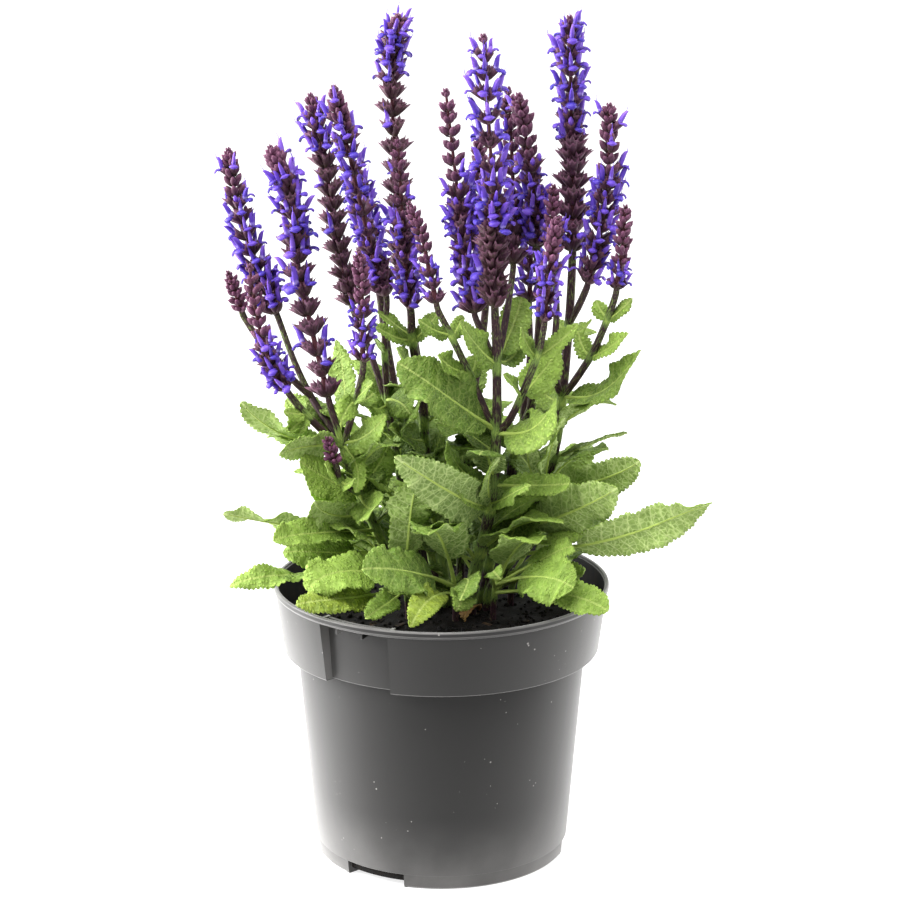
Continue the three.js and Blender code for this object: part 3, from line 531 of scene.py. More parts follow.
# Each stem: its axis and its branches from the foot up; a branch that names a spike ends
# under it. A leaf has the points where it leaves the stem, that its middle passes over and
# where it ends, then its width and how far its blade turns to the front. A spread leaf of
# the sides and back has its height, azimuth, length, rise and width.
STEMS = [
    {
        "name": "leafy_stem_left",
        "girth": [4.4, 3.2],
        "axis": [[-11, -2, STEM_FOOT], [-11, -2, 108], [-15, -4, 120], [-24, -7, 137],
                 [-34, -12, 161], [-41, -16, 183]],
        "arms": [
            {"spike": "spike_01", "path": [[-41, -16, 183], [-54, -2, 200], [-62, 5, 215]]},
            {"spike": "spike_02", "path": [[-54, -2, 200], [-66, -3, 213], [-75, -5, 225]]},
            {"spike": "spike_03", "path": [[-41, -16, 183], [-47, -20, 189], [-56, -23, 199]]},
            {"spike": "spike_04", "path": [[-41, -16, 183]]},
            {"spike": "spike_05", "path": [[-41, -16, 183], [-35, -26, 206]]},
            {"spike": "spike_06", "path": [[-34, -12, 161], [-42, -27, 172]]},
        ],
        "leaves": [
            [[-42, -18, 186], [-66, -26, 192], [-82, -34, 208], 14, [-50, -45, -75]],
            [[-42, -18, 184], [-55, -28, 187], [-67, -38, 187], 13, -70],
            [[-39, -18, 184], [-31, -26, 191], [-23, -30, 201], 13, 60],
            [[-37, -18, 183], [-35, -24, 176], [-36, -26, 166], 9, 60],
            [[-38, -14, 163], [-48, -24, 172], [-57, -34, 182], 19, 60],
            [[-38, -12, 161], [-47, -18, 163], [-54, -24, 167], 15, 40],
            [[-42, -28, 172], [-45, -33, 177], [-47, -37, 182], 9, 60],
            [[-41, -27, 172], [-39, -33, 172], [-36, -37, 176], 6, 50],
            [[-35, -14, 159], [-30, -28, 160], [-25, -38, 167], 17, 50],
            [[-37, -12, 150], [-45, -24, 156], [-53, -34, 165], 15, -75],
            [[-33, -10, 161], [-28, -2, 169], [-22, 4, 178], 18, 50],
            [[-29, -8, 140], [-69, -28, 154], [-90, -34, 160], 12, [-50, -60, -50, 0, -65, -60]],
            [[-31, -8, 142], [-54, -34, 151], [-68, -48, 153], 13, 40],
            [[-26, -6, 131], [-47, -22, 139], [-66, -28, 142], 20, 40],
            [[-56, -24, 199], [-60, -19, 201], [-65, -15, 203], 11, 65],
            [[-56, -24, 199], [-60, -29, 201], [-64, -34, 203], 7, 50],
            [[-55, -24, 198], [-59, -26, 196], [-63, -28, 193], 9, 60],
            [[-34, -26, 206], [-32, -32, 211], [-28, -37, 216], 10, 60],
            [[-35, -26, 205], [-38, -30, 204], [-41, -34, 199], 10, 55],
            [[-34, -24, 205], [-31, -16, 204], [-28, -9, 205], 9, 50],
            [[-40, -12, 189], [-41, 2, 205], [-45, 8, 223], 14, 50],
        ],
        "spread": [
            [150, 150, 38, 16, 17],
            [126, 125, 42, 18, 20],
            [170, 190, 36, 20, 17],
        ],
    },
    {
        "name": "leafy_stem_mid_left",
        "girth": [4.2, 3],
        "axis": [[-7, 3, STEM_FOOT], [-7, 3, 114], [-13, 6, 140], [-18, 8, 166], [-23, 12, 195]],
        "arms": [
            {"spike": "spike_07", "path": [[-23, 12, 193], [-29, 18, 212]]},
            {"spike": "spike_08", "path": [[-23, 12, 195], [-24, 13, 220]]},
        ],
        "leaves": [
            [[-22, 11, 217], [-27, 3, 224], [-29, -3, 231], 7, 40],
            [[-22, 12, 196], [-17, -4, 199], [-13, -12, 195], 14, 55],
            [[-24, 12, 194], [-27, -2, 196], [-31, -10, 201], 13, 55],
            [[-19, 10, 179], [-14, -4, 192], [-9, -16, 203], 14, 50],
        ],
        "spread": [
            [196, 120, 26, 14, 13],
            [172, 105, 38, 20, 17],
            [148, 215, 40, 24, 21],
            [134, 290, 38, 26, 20],
        ],
    },
    {
        "name": "leafy_stem_middle",
        "girth": [4.6, 3],
        "axis": [[2, 4, STEM_FOOT], [2, 4, 114], [-4, 12, 152], [-7, 16, 177], [-8, 16, 195],
                 [-12, 11, 222]],
        "tip": "spike_10",
        "arms": [
            {"spike": "spike_09", "path": [[-7, 16, 177], [-9, 25, 205]]},
        ],
        "leaves": [
            [[-11, 9, 223], [-20, 4, 226], [-28, 0, 232], 8, 50],
            [[-12, 9, 223], [-19, 12, 229], [-27, 14, 235], 6, 30],
            [[-11, 9, 223], [-6, 8, 229], [-1, 8, 236], 9, 50],
            [[-8, 13, 199], [-13, 2, 211], [-18, -4, 223], 21, 60],
            [[-7, 13, 199], [-1, 9, 204], [5, 6, 213], 12, 50],
            [[-7, 16, 177], [-14, 4, 182], [-22, -2, 188], 15, 50],
            [[-6, 14, 165], [-1, 6, 180], [3, 4, 193], 15, 50],
        ],
        "spread": [
            [160, 330, 30, 20, 17],
            [140, 250, 38, 30, 21],
            [186, 60, 26, 14, 14],
        ],
    },
    {
        "name": "leafy_stem_front",
        "girth": [5, 3.4],
        "axis": [[13, -5, STEM_FOOT], [13, -5, 117], [18, -10, 141], [21, -13, 159],
                 [23, -17, 188], [23, -19, 219]],
        "tip": "spike_13",
        "arms": [
            {"spike": "spike_11", "path": [[23, -17, 188], [13, -22, 213], [4, -25, 233]]},
            {"spike": "spike_12", "path": [[23, -19, 219]]},
            {"spike": "spike_14", "path": [[23, -19, 219], [27, -6, 236]]},
            {"spike": "spike_15", "path": [[23, -17, 188], [30, -24, 200], [39, -32, 225]]},
        ],
        "leaves": [
            [[22, -21, 219], [15, -27, 229], [8, -31, 240], 15, 60],
            [[24, -17, 219], [30, -8, 220], [32, -2, 225], 9, 40],
            [[25, -15, 219], [30, -2, 232], [34, 8, 242], 15, 30],
            [[20, -20, 191], [2, -34, 210], [-17, -40, 226], 24, 60],
            [[24, -18, 189], [38, -36, 197], [45, -34, 209], 19, 50],
            [[39, -32, 226], [47, -32, 231], [56, -28, 239], 8, 50],
            [[38, -32, 226], [35, -35, 232], [33, -36, 239], 9, 60],
            [[35, -27, 208], [41, -16, 214], [49, -8, 223], 16, 50],
            [[33, -28, 208], [30, -34, 214], [26, -38, 220], 8, 60],
            [[12, -24, 215], [4, -30, 221], [-1, -34, 227], 11, 60],
            [[12, -22, 214], [14, -15, 218], [15, -10, 221], 9, 40],
            [[3, -27, 232], [-3, -31, 237], [-9, -34, 242], 8, 55],
            [[4, -24, 232], [7, -18, 235], [9, -14, 239], 7, 40],
            [[18, -14, 157], [19, -32, 173], [23, -32, 183], 9, 60],
            [[19, -14, 158], [28, -36, 168], [36, -42, 175], 10, 50],
            [[17, -14, 158], [10, -34, 168], [6, -36, 177], 10, 60],
            [[25, -14, 164], [43, -28, 170], [53, -36, 173], 11, 50],
            [[16, -15, 165], [9, -27, 176], [3, -32, 190], 13, 60],
            [[19, -14, 154], [4, -42, 171], [-19, -52, 189], 20, -70],
        ],
        "spread": [
            [134, 320, 44, 22, 22],
            [130, 230, 40, 24, 21],
        ],
    },
    {
        "name": "leafy_stem_right",
        "girth": [4.6, 3.2],
        "axis": [[21, 0, STEM_FOOT], [21, 0, 114], [34, -2, 138], [46, 0, 169], [51, 2, 199],
                 [54, 6, 235]],
        "tip": "spike_19",
        "arms": [
            {"spike": "spike_18", "path": [[51, 2, 199], [47, -4, 215], [48, -8, 240]]},
            {"spike": "spike_21", "path": [[51, 2, 199], [62, -10, 220], [68, -16, 236]]},
            {"spike": "spike_20", "path": [[54, 6, 230]]},
        ],
        "leaves": [
            [[53, 0, 199], [68, -16, 208], [81, -24, 227], 16, 40],
            [[51, 2, 198], [45, 12, 198], [41, 20, 202], 12, 40],
            [[54, 3, 227], [58, -3, 230], [62, -8, 236], 7, 50],
            [[53, 6, 228], [51, 12, 228], [49, 18, 230], 6, 30],
            [[68, -16, 238], [66, -14, 241], [64, -12, 245], 7, 50],
            [[69, -16, 238], [73, -20, 242], [78, -22, 248], 7, 50],
            [[62, -10, 220], [59, -8, 224], [57, -6, 230], 9, 60],
            [[62, -10, 220], [69, -18, 226], [76, -24, 234], 9, 50],
            [[47, 0, 174], [67, 4, 181], [79, 6, 184], 9, -35],
            [[45, -2, 159], [67, -16, 169], [83, -22, 179], 17, -75],
            [[38, -2, 143], [56, -24, 158], [73, -32, 170], 20, -75],
            [[34, -4, 130], [78, -32, 150], [109, -40, 169], 18, [-60, -75, -80, -65, -15]],
            [[40, -6, 166], [45, -16, 182], [51, -20, 197], 15, 50],
            [[35, -6, 161], [37, -10, 178], [40, -8, 191], 15, 50],
        ],
        "spread": [
            [188, 320, 30, 16, 16],
            [150, 50, 40, 20, 20],
            [128, 330, 40, 20, 21],
        ],
    },
    {
        "name": "leafy_stem_back_right",
        "girth": [4.2, 3],
        "axis": [[18, 8, STEM_FOOT], [18, 8, 111], [26, 14, 145], [34, 18, 180], [39, 18, 195],
                 [42, 14, 239]],
        "tip": "spike_16",
        "arms": [
            {"spike": "spike_17", "path": [[34, 18, 180], [38, 28, 210]]},
        ],
        "leaves": [],
        "spread": [
            [150, 30, 46, 20, 20],
            [182, 60, 36, 16, 16],
            [122, 60, 46, 20, 21],
            [206, 20, 28, 16, 13],
        ],
    },
    {
        "name": "leafy_stem_back",
        "girth": [4, 3],
        "axis": [[8, 14, STEM_FOOT], [8, 14, 111], [10, 20, 150], [12, 28, 183], [17, 36, 212]],
        "tip": "spike_22",
        "arms": [],
        "leaves": [],
        "spread": [
            [135, 95, 48, 18, 21],
            [160, 55, 36, 18, 17],
            [158, 130, 38, 20, 17],
            [188, 90, 30, 14, 14],
            [176, 300, 26, 16, 16],
        ],
    },
    {
        "name": "leafy_stem_back_left",
        "girth": [4, 3],
        "axis": [[-2, 12, STEM_FOOT], [-2, 12, 111], [-8, 20, 150], [-19, 30, 192], [-24, 37, 218]],
        "tip": "spike_23",
        "arms": [],
        "leaves": [],
        "spread": [
            [132, 125, 48, 18, 21],
            [160, 165, 40, 20, 17],
            [164, 75, 30, 18, 15],
            [192, 140, 28, 14, 13],
            [190, 270, 24, 16, 14],
        ],
    },
    {
        "name": "shoot_front_left",
        "girth": [3, 2.4],
        "axis": [[-14, -13, STEM_FOOT], [-14, -13, 110], [-15, -15, 122]],
        "arms": [],
        "leaves": [
            [[-20, -16, 119], [-40, -44, 126], [-59, -58, 129], 14, 42, "yellow"],
            [[-18, -16, 119], [-23, -40, 122], [-31, -54, 121], 11, 30],
            [[-17, -16, 124], [-55, -34, 133], [-88, -44, 133], 13, [30, 30, -15, 55, 20]],
            [[-18, -16, 127], [-38, -38, 136], [-56, -50, 132], 20, 42],
            [[-16, -14, 124], [-14, -30, 150], [-11, -24, 170], 20, 10],
        ],
        "spread": [
            [118, 200, 34, 34, 20],
        ],
    },
    {
        "name": "shoot_front",
        "girth": [3, 2.4],
        "axis": [[6, -16, STEM_FOOT], [6, -16, 110], [6, -18, 122]],
        "arms": [],
        "leaves": [
            [[9, -18, 123], [-12, -46, 138], [-32, -60, 144], 24, 45],
            [[13, -18, 125], [11, -44, 134], [7, -56, 129], 13, 30],
            [[4, -20, 118], [-4, -50, 128], [-12, -70, 123], 12, 25, "yellow"],
            [[9, -20, 121], [9, -46, 128], [6, -56, 124], 11, 20],
        ],
        "spread": [
            [121, 250, 34, 36, 22],
        ],
    },
    {
        "name": "shoot_front_right",
        "girth": [3, 2.4],
        "axis": [[22, -13, STEM_FOOT], [22, -13, 110], [23, -15, 122]],
        "arms": [],
        "leaves": [
            [[26, -18, 124], [40, -46, 136], [54, -58, 135], 22, 42],
            [[28, -16, 127], [44, -34, 141], [55, -38, 147], 15, 35],
            [[25, -16, 120], [21, -42, 137], [24, -52, 136], 8, 30],
            [[25, -16, 118], [49, -44, 128], [68, -60, 126], 16, [10, 30, 50]],
            [[25, -14, 122], [30, -8, 142], [38, 2, 162], 22, 20],
        ],
        "spread": [
            [119, 300, 34, 32, 21],
        ],
    },
    {
        "name": "shoot_right",
        "girth": [3, 2.4],
        "axis": [[30, 8, STEM_FOOT], [30, 8, 110], [32, 8, 122]],
        "arms": [],
        "leaves": [
            [[40, 6, 115], [51, -8, 124], [59, -16, 127], 13, 35],
        ],
        "spread": [
            [116, 15, 48, 14, 17],
            [121, 50, 46, 20, 20],
            [119, 340, 44, 26, 21],
        ],
    },
    {
        "name": "shoot_back",
        "girth": [3, 2.4],
        "axis": [[8, 26, STEM_FOOT], [8, 26, 110], [8, 28, 122]],
        "arms": [],
        "leaves": [],
        "spread": [
            [114, 75, 46, 14, 17],
            [120, 105, 44, 20, 21],
            [117, 145, 44, 14, 17],
        ],
    },
    {
        "name": "shoot_left",
        "girth": [3, 2.4],
        "axis": [[-20, 8, STEM_FOOT], [-20, 8, 110], [-22, 8, 122]],
        "arms": [],
        "leaves": [],
        "spread": [
            [116, 150, 48, 16, 18],
            [120, 178, 48, 16, 18],
            [121, 110, 38, 20, 17],
            [119, 215, 40, 24, 18],
        ],
    },
]


def soft_curve(points):
    """A smooth curve through the points, as a function of the share of the way along it."""
    spots = [Vector(point) for point in points]
    spots = [2 * spots[0] - spots[1], *spots, 2 * spots[-1] - spots[-2]]

    def at(share):
        way = min(max(share, 0), 1) * (len(spots) - 3)
        k = min(int(way), len(spots) - 4)
        w = way - k
        before, start, end, after = spots[k:k + 4]
        lead, tail = (end - before) / 2, (after - start) / 2
        return (start * (2 * w ** 3 - 3 * w ** 2 + 1) + lead * (w ** 3 - 2 * w ** 2 + w)
                + end * (3 * w ** 2 - 2 * w ** 3) + tail * (w ** 3 - w ** 2))

    return at


def length_of(at, parts=40):
    """The length of a curve in millimetres."""
    return sum((at((k + 1) / parts) - at(k / parts)).length for k in range(parts))


def direction(at, share):
    """Which way a curve runs at a share of the way along it."""
    return (at(min(1, share + 0.004)) - at(max(0, share - 0.004))).normalized()


def across(centre, along):
    """Stands a flat section square across a direction."""
    u = (Vector((1, 0, 0)) - along.x * along).normalized()
    turn = Matrix((u, along.cross(u), along)).transposed()
    return Matrix.Translation(centre) @ turn.to_4x4()


def pull(part, end):
    """Draws the end face of a part out by one step: its new corners and its new face."""
    made = bmesh.ops.extrude_face_region(part, geom=[end, *end.edges])["geom"]
    ring = [item for item in made if isinstance(item, bmesh.types.BMVert)]
    return ring, next(item for item in made if isinstance(item, bmesh.types.BMFace))


def draw_out(part, places):
    """Draws the one face of a part out through a row of places, each a matrix: the corners
    that come to lie at each of them, and the face at the end."""
    ring, end = part.verts[:], part.faces[:][0]
    before = Matrix.Identity(4)
    rings = []
    for here in places:
        if rings:
            ring, end = pull(part, end)
        bmesh.ops.transform(part, matrix=here @ before.inverted(), verts=ring)
        rings.append(ring)
        before = here
    return rings, end


def stalk_mesh():
    """An empty shape for stems, with their place on the bark and how fresh they are."""
    work = bmesh.new()
    work.verts.layers.float_vector.new("bark")
    work.verts.layers.float.new("fresh")
    return work


def draw_stem(whole, at, steps, half, fresh, square=True):
    """Draws a section out along a curve. `half` gives its half width and `fresh` how green
    it is, both by the share of the way along."""
    part = stalk_mesh()
    bark, green = part.verts.layers.float_vector["bark"], part.verts.layers.float["fresh"]
    bmesh.ops.create_circle(part, cap_ends=True, segments=12 if square else 6, radius=1)
    if square:
        for corner in part.verts:
            reach = (corner.co.x ** 6 + corner.co.y ** 6) ** (1 / 6)
            grooved = 0.9 + 0.1 * abs(math.sin(2 * math.atan2(corner.co.y, corner.co.x)))
            corner.co *= grooved / reach
    total = length_of(at)
    shares = [i / steps for i in range(steps + 1)]
    sizes = [half(share) for share in shares]
    places = [across(at(share), direction(at, share)) @ Matrix.Diagonal((size, size, 1, 1))
              for share, size in zip(shares, sizes)]
    for share, size, here, ring in zip(shares, sizes, places, draw_out(part, places)[0]):
        for corner in ring:
            spot = here.inverted() @ corner.co
            corner[bark] = (spot.x * size, spot.y * size, share * total)
            corner[green] = fresh(share)
    bmesh.ops.recalc_face_normals(part, faces=part.faces)
    gather(whole, part)


def curves_of(stem):
    """The curves of a stem: its axis, then its branches, each up to its spike."""
    lines = {spike[0]: spike[1] for spike in SPIKES}
    curves = []
    for spike, path in [(stem.get("tip"), stem["axis"])] + [
            (arm["spike"], arm["path"]) for arm in stem["arms"]]:
        points = [Vector(point) for point in path]
        if spike:
            foot, after = Vector(lines[spike][0]), Vector(lines[spike][1])
            along = (after - foot).normalized()
            points += [foot - 4 * along, foot + 0.6 * along]
        curves.append(soft_curve(points))
    return curves


def nearest(curves, wanted):
    """The spot of a stem's curves that lies nearest to the one wanted."""
    spots = [at(k / 60) for at in curves for k in range(61)]
    return min(spots, key=lambda spot: (spot - wanted).length)


def draw_stems(work, stem, curves, joints):
    """The axis and branches of one stem, swollen and green at its leaf pairs. A branch
    starts thin, where it parts from the stem."""
    low, high = stem["girth"]
    for i, at in enumerate(curves):
        tall = length_of(at)
        foot = low * FOOT_FLARE if i == 0 else BRANCH_FOOT
        tip = (STEM_TIP if stem.get("tip") else high) if i == 0 else BRANCH_TIP

        def near(share, at=at):
            away = min((at(share) - joint).length_squared for joint in joints)
            return math.exp(-away / JOINT_SPREAD)

        def half(share, foot=foot, tip=tip, near=near, tall=tall, neck=BRANCH_NECK if i else 1):
            grown = neck + (1 - neck) * min(1, share * tall / NECK_LENGTH)
            return (foot + (tip - foot) * share) / 2 * (1 + JOINT_SWELL * near(share)) * grown

        draw_stem(work, at, max(4, round(tall / STEM_STEP)), half, near)


# Bark: long streaks of green and wine red in near black, pale green along the leaf stalks
# and wine red all the way up the spikes.
stem_skin, tree, shader = finish_named("stem_skin", {
    "Specular IOR Level": 0.2, "Roughness": 0.6})
bark_place = place_node(tree, "Attribute", attribute_name="bark").outputs["Vector"]
fresh_here = place_node(tree, "Attribute", attribute_name="fresh").outputs["Fac"]
drawn = place_node(tree, "Mapping", {"Vector": bark_place, "Scale": (1.1, 1.1, 0.3)}).outputs[0]
streaks = soft_noise(tree, drawn, 1.6, 5, 0.65)
blotch = carry_over(tree, soft_noise(tree, bark_place, 0.09, 2), 0.35, 0.7, -0.10, 0.07)
lit = reckon(tree, "ADD", streaks, blotch)
lit = reckon(tree, "MULTIPLY_ADD", fresh_here, 0.36, lit)
tone = blend(tree, carry_over(tree, streaks, 0.36, 0.58), STEM_DARK, STEM_PURPLE)
tone = blend(tree, carry_over(tree, lit, 0.50, 0.66), tone, STEM_GREEN)
tone = blend(tree, carry_over(tree, lit, 0.72, 1.0), tone, STALK_GREEN)
tone = blend(tree, carry_over(tree, fresh_here, -1, -0.2, 0.75, 0), tone, SPIKE_WINE)
tree.links.new(tone, shader.inputs["Base Color"])
give_relief(tree, shader, 0.5, 0.0003, streaks)

# ---- The leaves -------------------------------------------------------------------------
# Oblong blades with a round-toothed, rippled edge, quilted between sunken side veins and
# netted with finer ones; grey green and stronger veined beneath. A pale stalk runs into the
# midrib, which stands out as a rib on the underside.
LOW_LEAVES = 135
LOW_STALK = 0.26
HIGH_STALK = 0.07
SHORT_LEAF = 26
TROUGH = (-0.16, 0.22)
TWIST = 0.3
CURL = 0.2
CURL_FROM = 0.55
WAVE = 0.12
TOOTH = 2.3
TOOTH_DEPTH = 0.8
TOOTH_STEPS = 3
RIPPLE = 0.55
RIPPLE_LENGTH = 7
VEINS_APART = (2.4, 6.2)
VEINS_A_SIDE = 8.5
QUILT = 0.5
RIB_GROOVE = 0.25
RIB_REACH = 0.93
BLADE_THICK = 0.4
STEM_SMOOTH = math.radians(60)
FULLY_ROUND = math.radians(180)
INNER_HEIGHTS = (112, 122, 133, 144, 156, 168, 180)
YOUTH = 0.7
YOUTH_LOST = 0.006
YOUTH_SPREAD = 0.25
INNER_PAINTED_SHADE = 0.35
OUTER_PAINTED_LIGHT = 0.4
OUTER_FROM = 20
OUTER_OVER = 30
LEAF_OLD = (0.070, 0.128, 0.012, 1)
LEAF_FULL = (0.145, 0.245, 0.025, 1)
LEAF_YOUNG = (0.285, 0.430, 0.066, 1)
LEAF_YELLOW = (0.34, 0.42, 0.030, 1)
LEAF_UNDER_OLD = (0.100, 0.170, 0.030, 1)
LEAF_UNDER_YOUNG = (0.200, 0.305, 0.058, 1)
VEIN_PALE = (0.46, 0.54, 0.16, 1)
CREASE_PAINTED_SHADE = (0.045, 0.085, 0.009, 1)
VEIN_UNDER = (0.50, 0.60, 0.24, 1)
DRY_TAN = (0.36, 0.22, 0.065, 1)
DRY_BROWN = (0.15, 0.080, 0.028, 1)
DRY_LEAVES = [
    [[44, 12, 106], [51, 15, 117], [57, 10, 109], 13, [0, 50]],
    [[16, -2, 106], [12, -10, 111], [9, -17, 106], 8, [20, -40]],
    [[-30, -30, 106], [-36, -33, 109], [-43, -34, 107], 7, 0],
]

# The draw that gives each leaf its own wave.
wave_seed = 1917


def wave_draw():
    """The next turn of the wave, from 0 to a full circle."""
    global wave_seed
    wave_seed = (wave_seed * 1664525 + 1013904223) % 4294967296
    return math.tau * wave_seed / 4294967296


def blade_shape(u):
    """How wide a blade is from its base (0) to its blunt tip (1), against its full width."""
    rise = math.sqrt(1 - (1 - min(1, u / 0.24)) ** 2)
    fall = (1 - max(0, (u - 0.5) / 0.5) ** 2.3) ** 0.62
    return rise * fall * (0.92 + 0.08 * math.sin(math.pi * u))


def part_way(values, share):
    """The value a share of the way along a row of values, or the one value everywhere."""
    if not isinstance(values, list):
        return values
    way = min(max(share, 0), 1) * (len(values) - 1)
    k = min(int(way), len(values) - 2)
    return values[k] + (values[k + 1] - values[k]) * (way - k)


def spread_leaf(entry, curves):
    """A leaf of the sides or back, in the points that the others have."""
    height, azimuth, length, rise, width = entry
    start = min((curves[0](k / 60) for k in range(61)), key=lambda spot: abs(spot.z - height))
    out = Vector((math.cos(math.radians(azimuth)), math.sin(math.radians(azimuth)), 0))
    over = start + 0.48 * length * out + Vector((0, 0, 0.75 * rise))
    return [start, over, start + length * out + Vector((0, 0, rise)), width, 0]


def grow_leaf(sheets, stalks, entry, curves, phase, look):
    """One blade, laid over its midrib, and the stalk and rib beneath it. `look` holds how
    young it is, lightened and darkened by painted light and shade, how yellow it has turned
    and how much its veins show."""
    start_near, over, tip, width, face = entry[:5]
    start, over, tip = nearest(curves, Vector(start_near)), Vector(over), Vector(tip)
    arch = 2 * over - 0.5 * start - 0.5 * tip

    def midrib(t):
        return (1 - t) ** 2 * start + 2 * t * (1 - t) * arch + t ** 2 * tip

    length = length_of(midrib)
    level = (tip - start).cross(Vector((0, 0, 1)))
    level.z = 0
    level.normalize()
    hand = 1 if level.y < 0 else -1
    stalk = LOW_STALK if start.z < LOW_LEAVES and length > SHORT_LEAF else HIGH_STALK
    blade_length = length * (1 - stalk)
    tooth = min(TOOTH, 1.2 + 0.03 * blade_length)
    rows = TOOTH_STEPS * max(4, round(blade_length / tooth))
    depth = min(TOOTH_DEPTH, 0.09 * width)
    spacing = min(VEINS_APART[1], max(VEINS_APART[0], blade_length / VEINS_A_SIDE))
    twist = chance.uniform(-TWIST, TWIST)
    curl = chance.uniform(0, CURL)
    trough = chance.uniform(*TROUGH)

    def section(t):
        along = direction(midrib, t)
        side = (level - level.dot(along) * along).normalized()
        bend = hand * math.radians(part_way(face, t)) + twist * (t - 0.3)
        side = Matrix.Rotation(bend, 3, along) @ side
        return side, side.cross(along)

    # The blade: a flat grid, each row laid across the midrib and cut in where a tooth ends.
    blade = sheets.verts.layers.float_vector["blade"]
    leaf_look = sheets.verts.layers.float_vector["look"]
    columns = 2 * min(6, max(2, round(width / 3.4)))
    grid = bmesh.ops.create_grid(sheets, x_segments=columns, y_segments=rows, size=1)
    sections = {}
    for corner in grid["verts"]:
        s, u = corner.co.x, (corner.co.y + 1) / 2
        row = round(u * rows)
        t = stalk + (1 - stalk) * u
        if row not in sections:
            sections[row] = (midrib(t), *section(t))
        centre, side, up = sections[row]
        broad = 1 + 0.07 * math.sin(5 * u + 2 * phase + (1 if s > 0 else 0))
        half = max(0.6 * (1 - u), width / 2 * broad * blade_shape(u))
        sink = 0 if row % TOOTH_STEPS else min(depth, 0.35 * half)
        reach = s * (half - sink * abs(s) ** 4)
        gone, off = u * blade_length, abs(reach)
        vein = (gone - 0.8 * off + 0.022 * off ** 2) / spacing
        vein += 0.3 * min(1, 3 * s) if s > 0 else 0
        swell = QUILT * min(1, half / 7) * (0.5 - 0.5 * math.cos(math.tau * vein))
        swell *= min(1, 4 * abs(s)) * (1 - s ** 4)
        ripple = noise.noise((gone / RIPPLE_LENGTH, 9 * phase, 0.4 * s + (5 if s > 0 else 0)))
        lift = (trough * half * abs(s) ** 1.3 - WAVE * half * math.sin(9 * u + phase) * s
                + RIPPLE * min(half, 9) * ripple * s ** 2 * min(1, 3 * u) + swell)
        if abs(s) < 0.01:
            lift -= RIB_GROOVE
        drop = curl * length * max(0, u - CURL_FROM) ** 2
        corner.co = centre + side * reach + up * (lift - drop)
        corner[blade] = (gone, reach, vein)
        # The blade is lighter toward its tip and at its edges: partly younger tissue, partly painted
        # backlight.
        corner[leaf_look] = (look[0] + 0.5 * (u - 0.6) + 0.2 * s ** 4, look[1], look[2])

    # The rib: it leaves the stem as the stalk and sinks under the blade.
    def under(share):
        t = share * RIB_REACH
        up = section(t)[1]
        drop = (0.45 + 0.2 * width / 20) * min(1, max(0, t - stalk) * 6)
        curve = curl * length * max(0, (t - stalk) / (1 - stalk) - CURL_FROM) ** 2
        return midrib(t) - up * (drop + curve)

    stout = 0.45 + 0.028 * width
    draw_stem(stalks, under, max(5, round(length / 4)),
              lambda share: stout * (1 - 0.8 * share), lambda share: 1.5, square=False)


def leaf_sheets():
    """An empty shape for blades, with their place on the leaf and its look."""
    work = bmesh.new()
    work.verts.layers.float_vector.new("blade")
    work.verts.layers.float_vector.new("look")
    return work


def thicken(blades, under_material):
    """Gives the blades their thickness, downward, and the look of their undersides."""
    wall = blades.modifiers.new("blade_thickness", "SOLIDIFY")
    wall.thickness = BLADE_THICK * MM
    wall.offset = -1
    wall.material_offset = under_material


# The veins: the midrib and side veins follow the blade, the net between them is finer and
# the skin puckers up inside it.
veins = bpy.data.node_groups.new("leaf_veins", "ShaderNodeTree")
blade_place = place_node(veins, "Attribute", attribute_name="blade").outputs["Vector"]
flat = place_node(veins, "VectorMath", {0: blade_place, 1: (1, 1, 0)},
                  operation="MULTIPLY").outputs[0]
apart = place_node(veins, "SeparateXYZ", {"Vector": blade_place}).outputs
course = reckon(veins, "MULTIPLY_ADD", soft_noise(veins, flat, 0.3, 1), 0.3, apart["Z"])
beside = reckon(veins, "PINGPONG", course, 0.5)
from_rib = reckon(veins, "ABSOLUTE", apart["Y"])
cells = place_node(veins, "TexVoronoi", {"Vector": flat, "Scale": 0.42, "Randomness": 0.85},
                   feature="DISTANCE_TO_EDGE").outputs["Distance"]


def domes(scale, smoothness, low, high):
    """Round puckers, from 0 on their tops to 1 where they meet."""
    wires = {"Vector": flat, "Scale": scale, "Smoothness": smoothness, "Randomness": 0.9}
    away = place_node(veins, "TexVoronoi", wires, feature="SMOOTH_F1").outputs["Distance"]
    return carry_over(veins, away, low, high, interpolation_type="SMOOTHSTEP")


pucker = reckon(veins, "MULTIPLY_ADD", domes(0.34, 0.25, 0.25, 0.75), 0.5,
                domes(0.66, 0.15, 0.15, 0.58))
vein_masks = {
    "Midrib": carry_over(veins, from_rib, 0.25, 0.6, 1, 0),
    "Side": carry_over(veins, beside, 0.02, 0.09, 1, 0),
    "Net": carry_over(veins, cells, 0.02, 0.11, 1, 0),
    "Pucker": reckon(veins, "MULTIPLY", pucker, 0.667),
    "Mottle": soft_noise(veins, flat, 0.16, 4),
}
for mask in vein_masks:
    veins.interface.new_socket(mask, in_out="OUTPUT", socket_type="NodeSocketFloat")
given = veins.nodes.new("NodeGroupOutput")
for mask, value in vein_masks.items():
    veins.links.new(value, given.inputs[mask])


def run_through(tree, value, stops):
    """A colour that runs on from one to the next by a value, each at its place."""
    ramp = place_node(tree, "ValToRGB", {"Fac": value})
    elements = ramp.color_ramp.elements
    elements[0].position, elements[0].color = stops[0]
    elements[1].position, elements[1].color = stops[-1]
    for spot, colour in stops[1:-1]:
        elements.new(spot).color = colour
    return ramp.outputs["Color"]


def stored(tree, name):
    """The three values that a shape keeps at each corner under a name."""
    values = place_node(tree, "Attribute", attribute_name=name).outputs["Vector"]
    return place_node(tree, "SeparateXYZ", {"Vector": values}).outputs


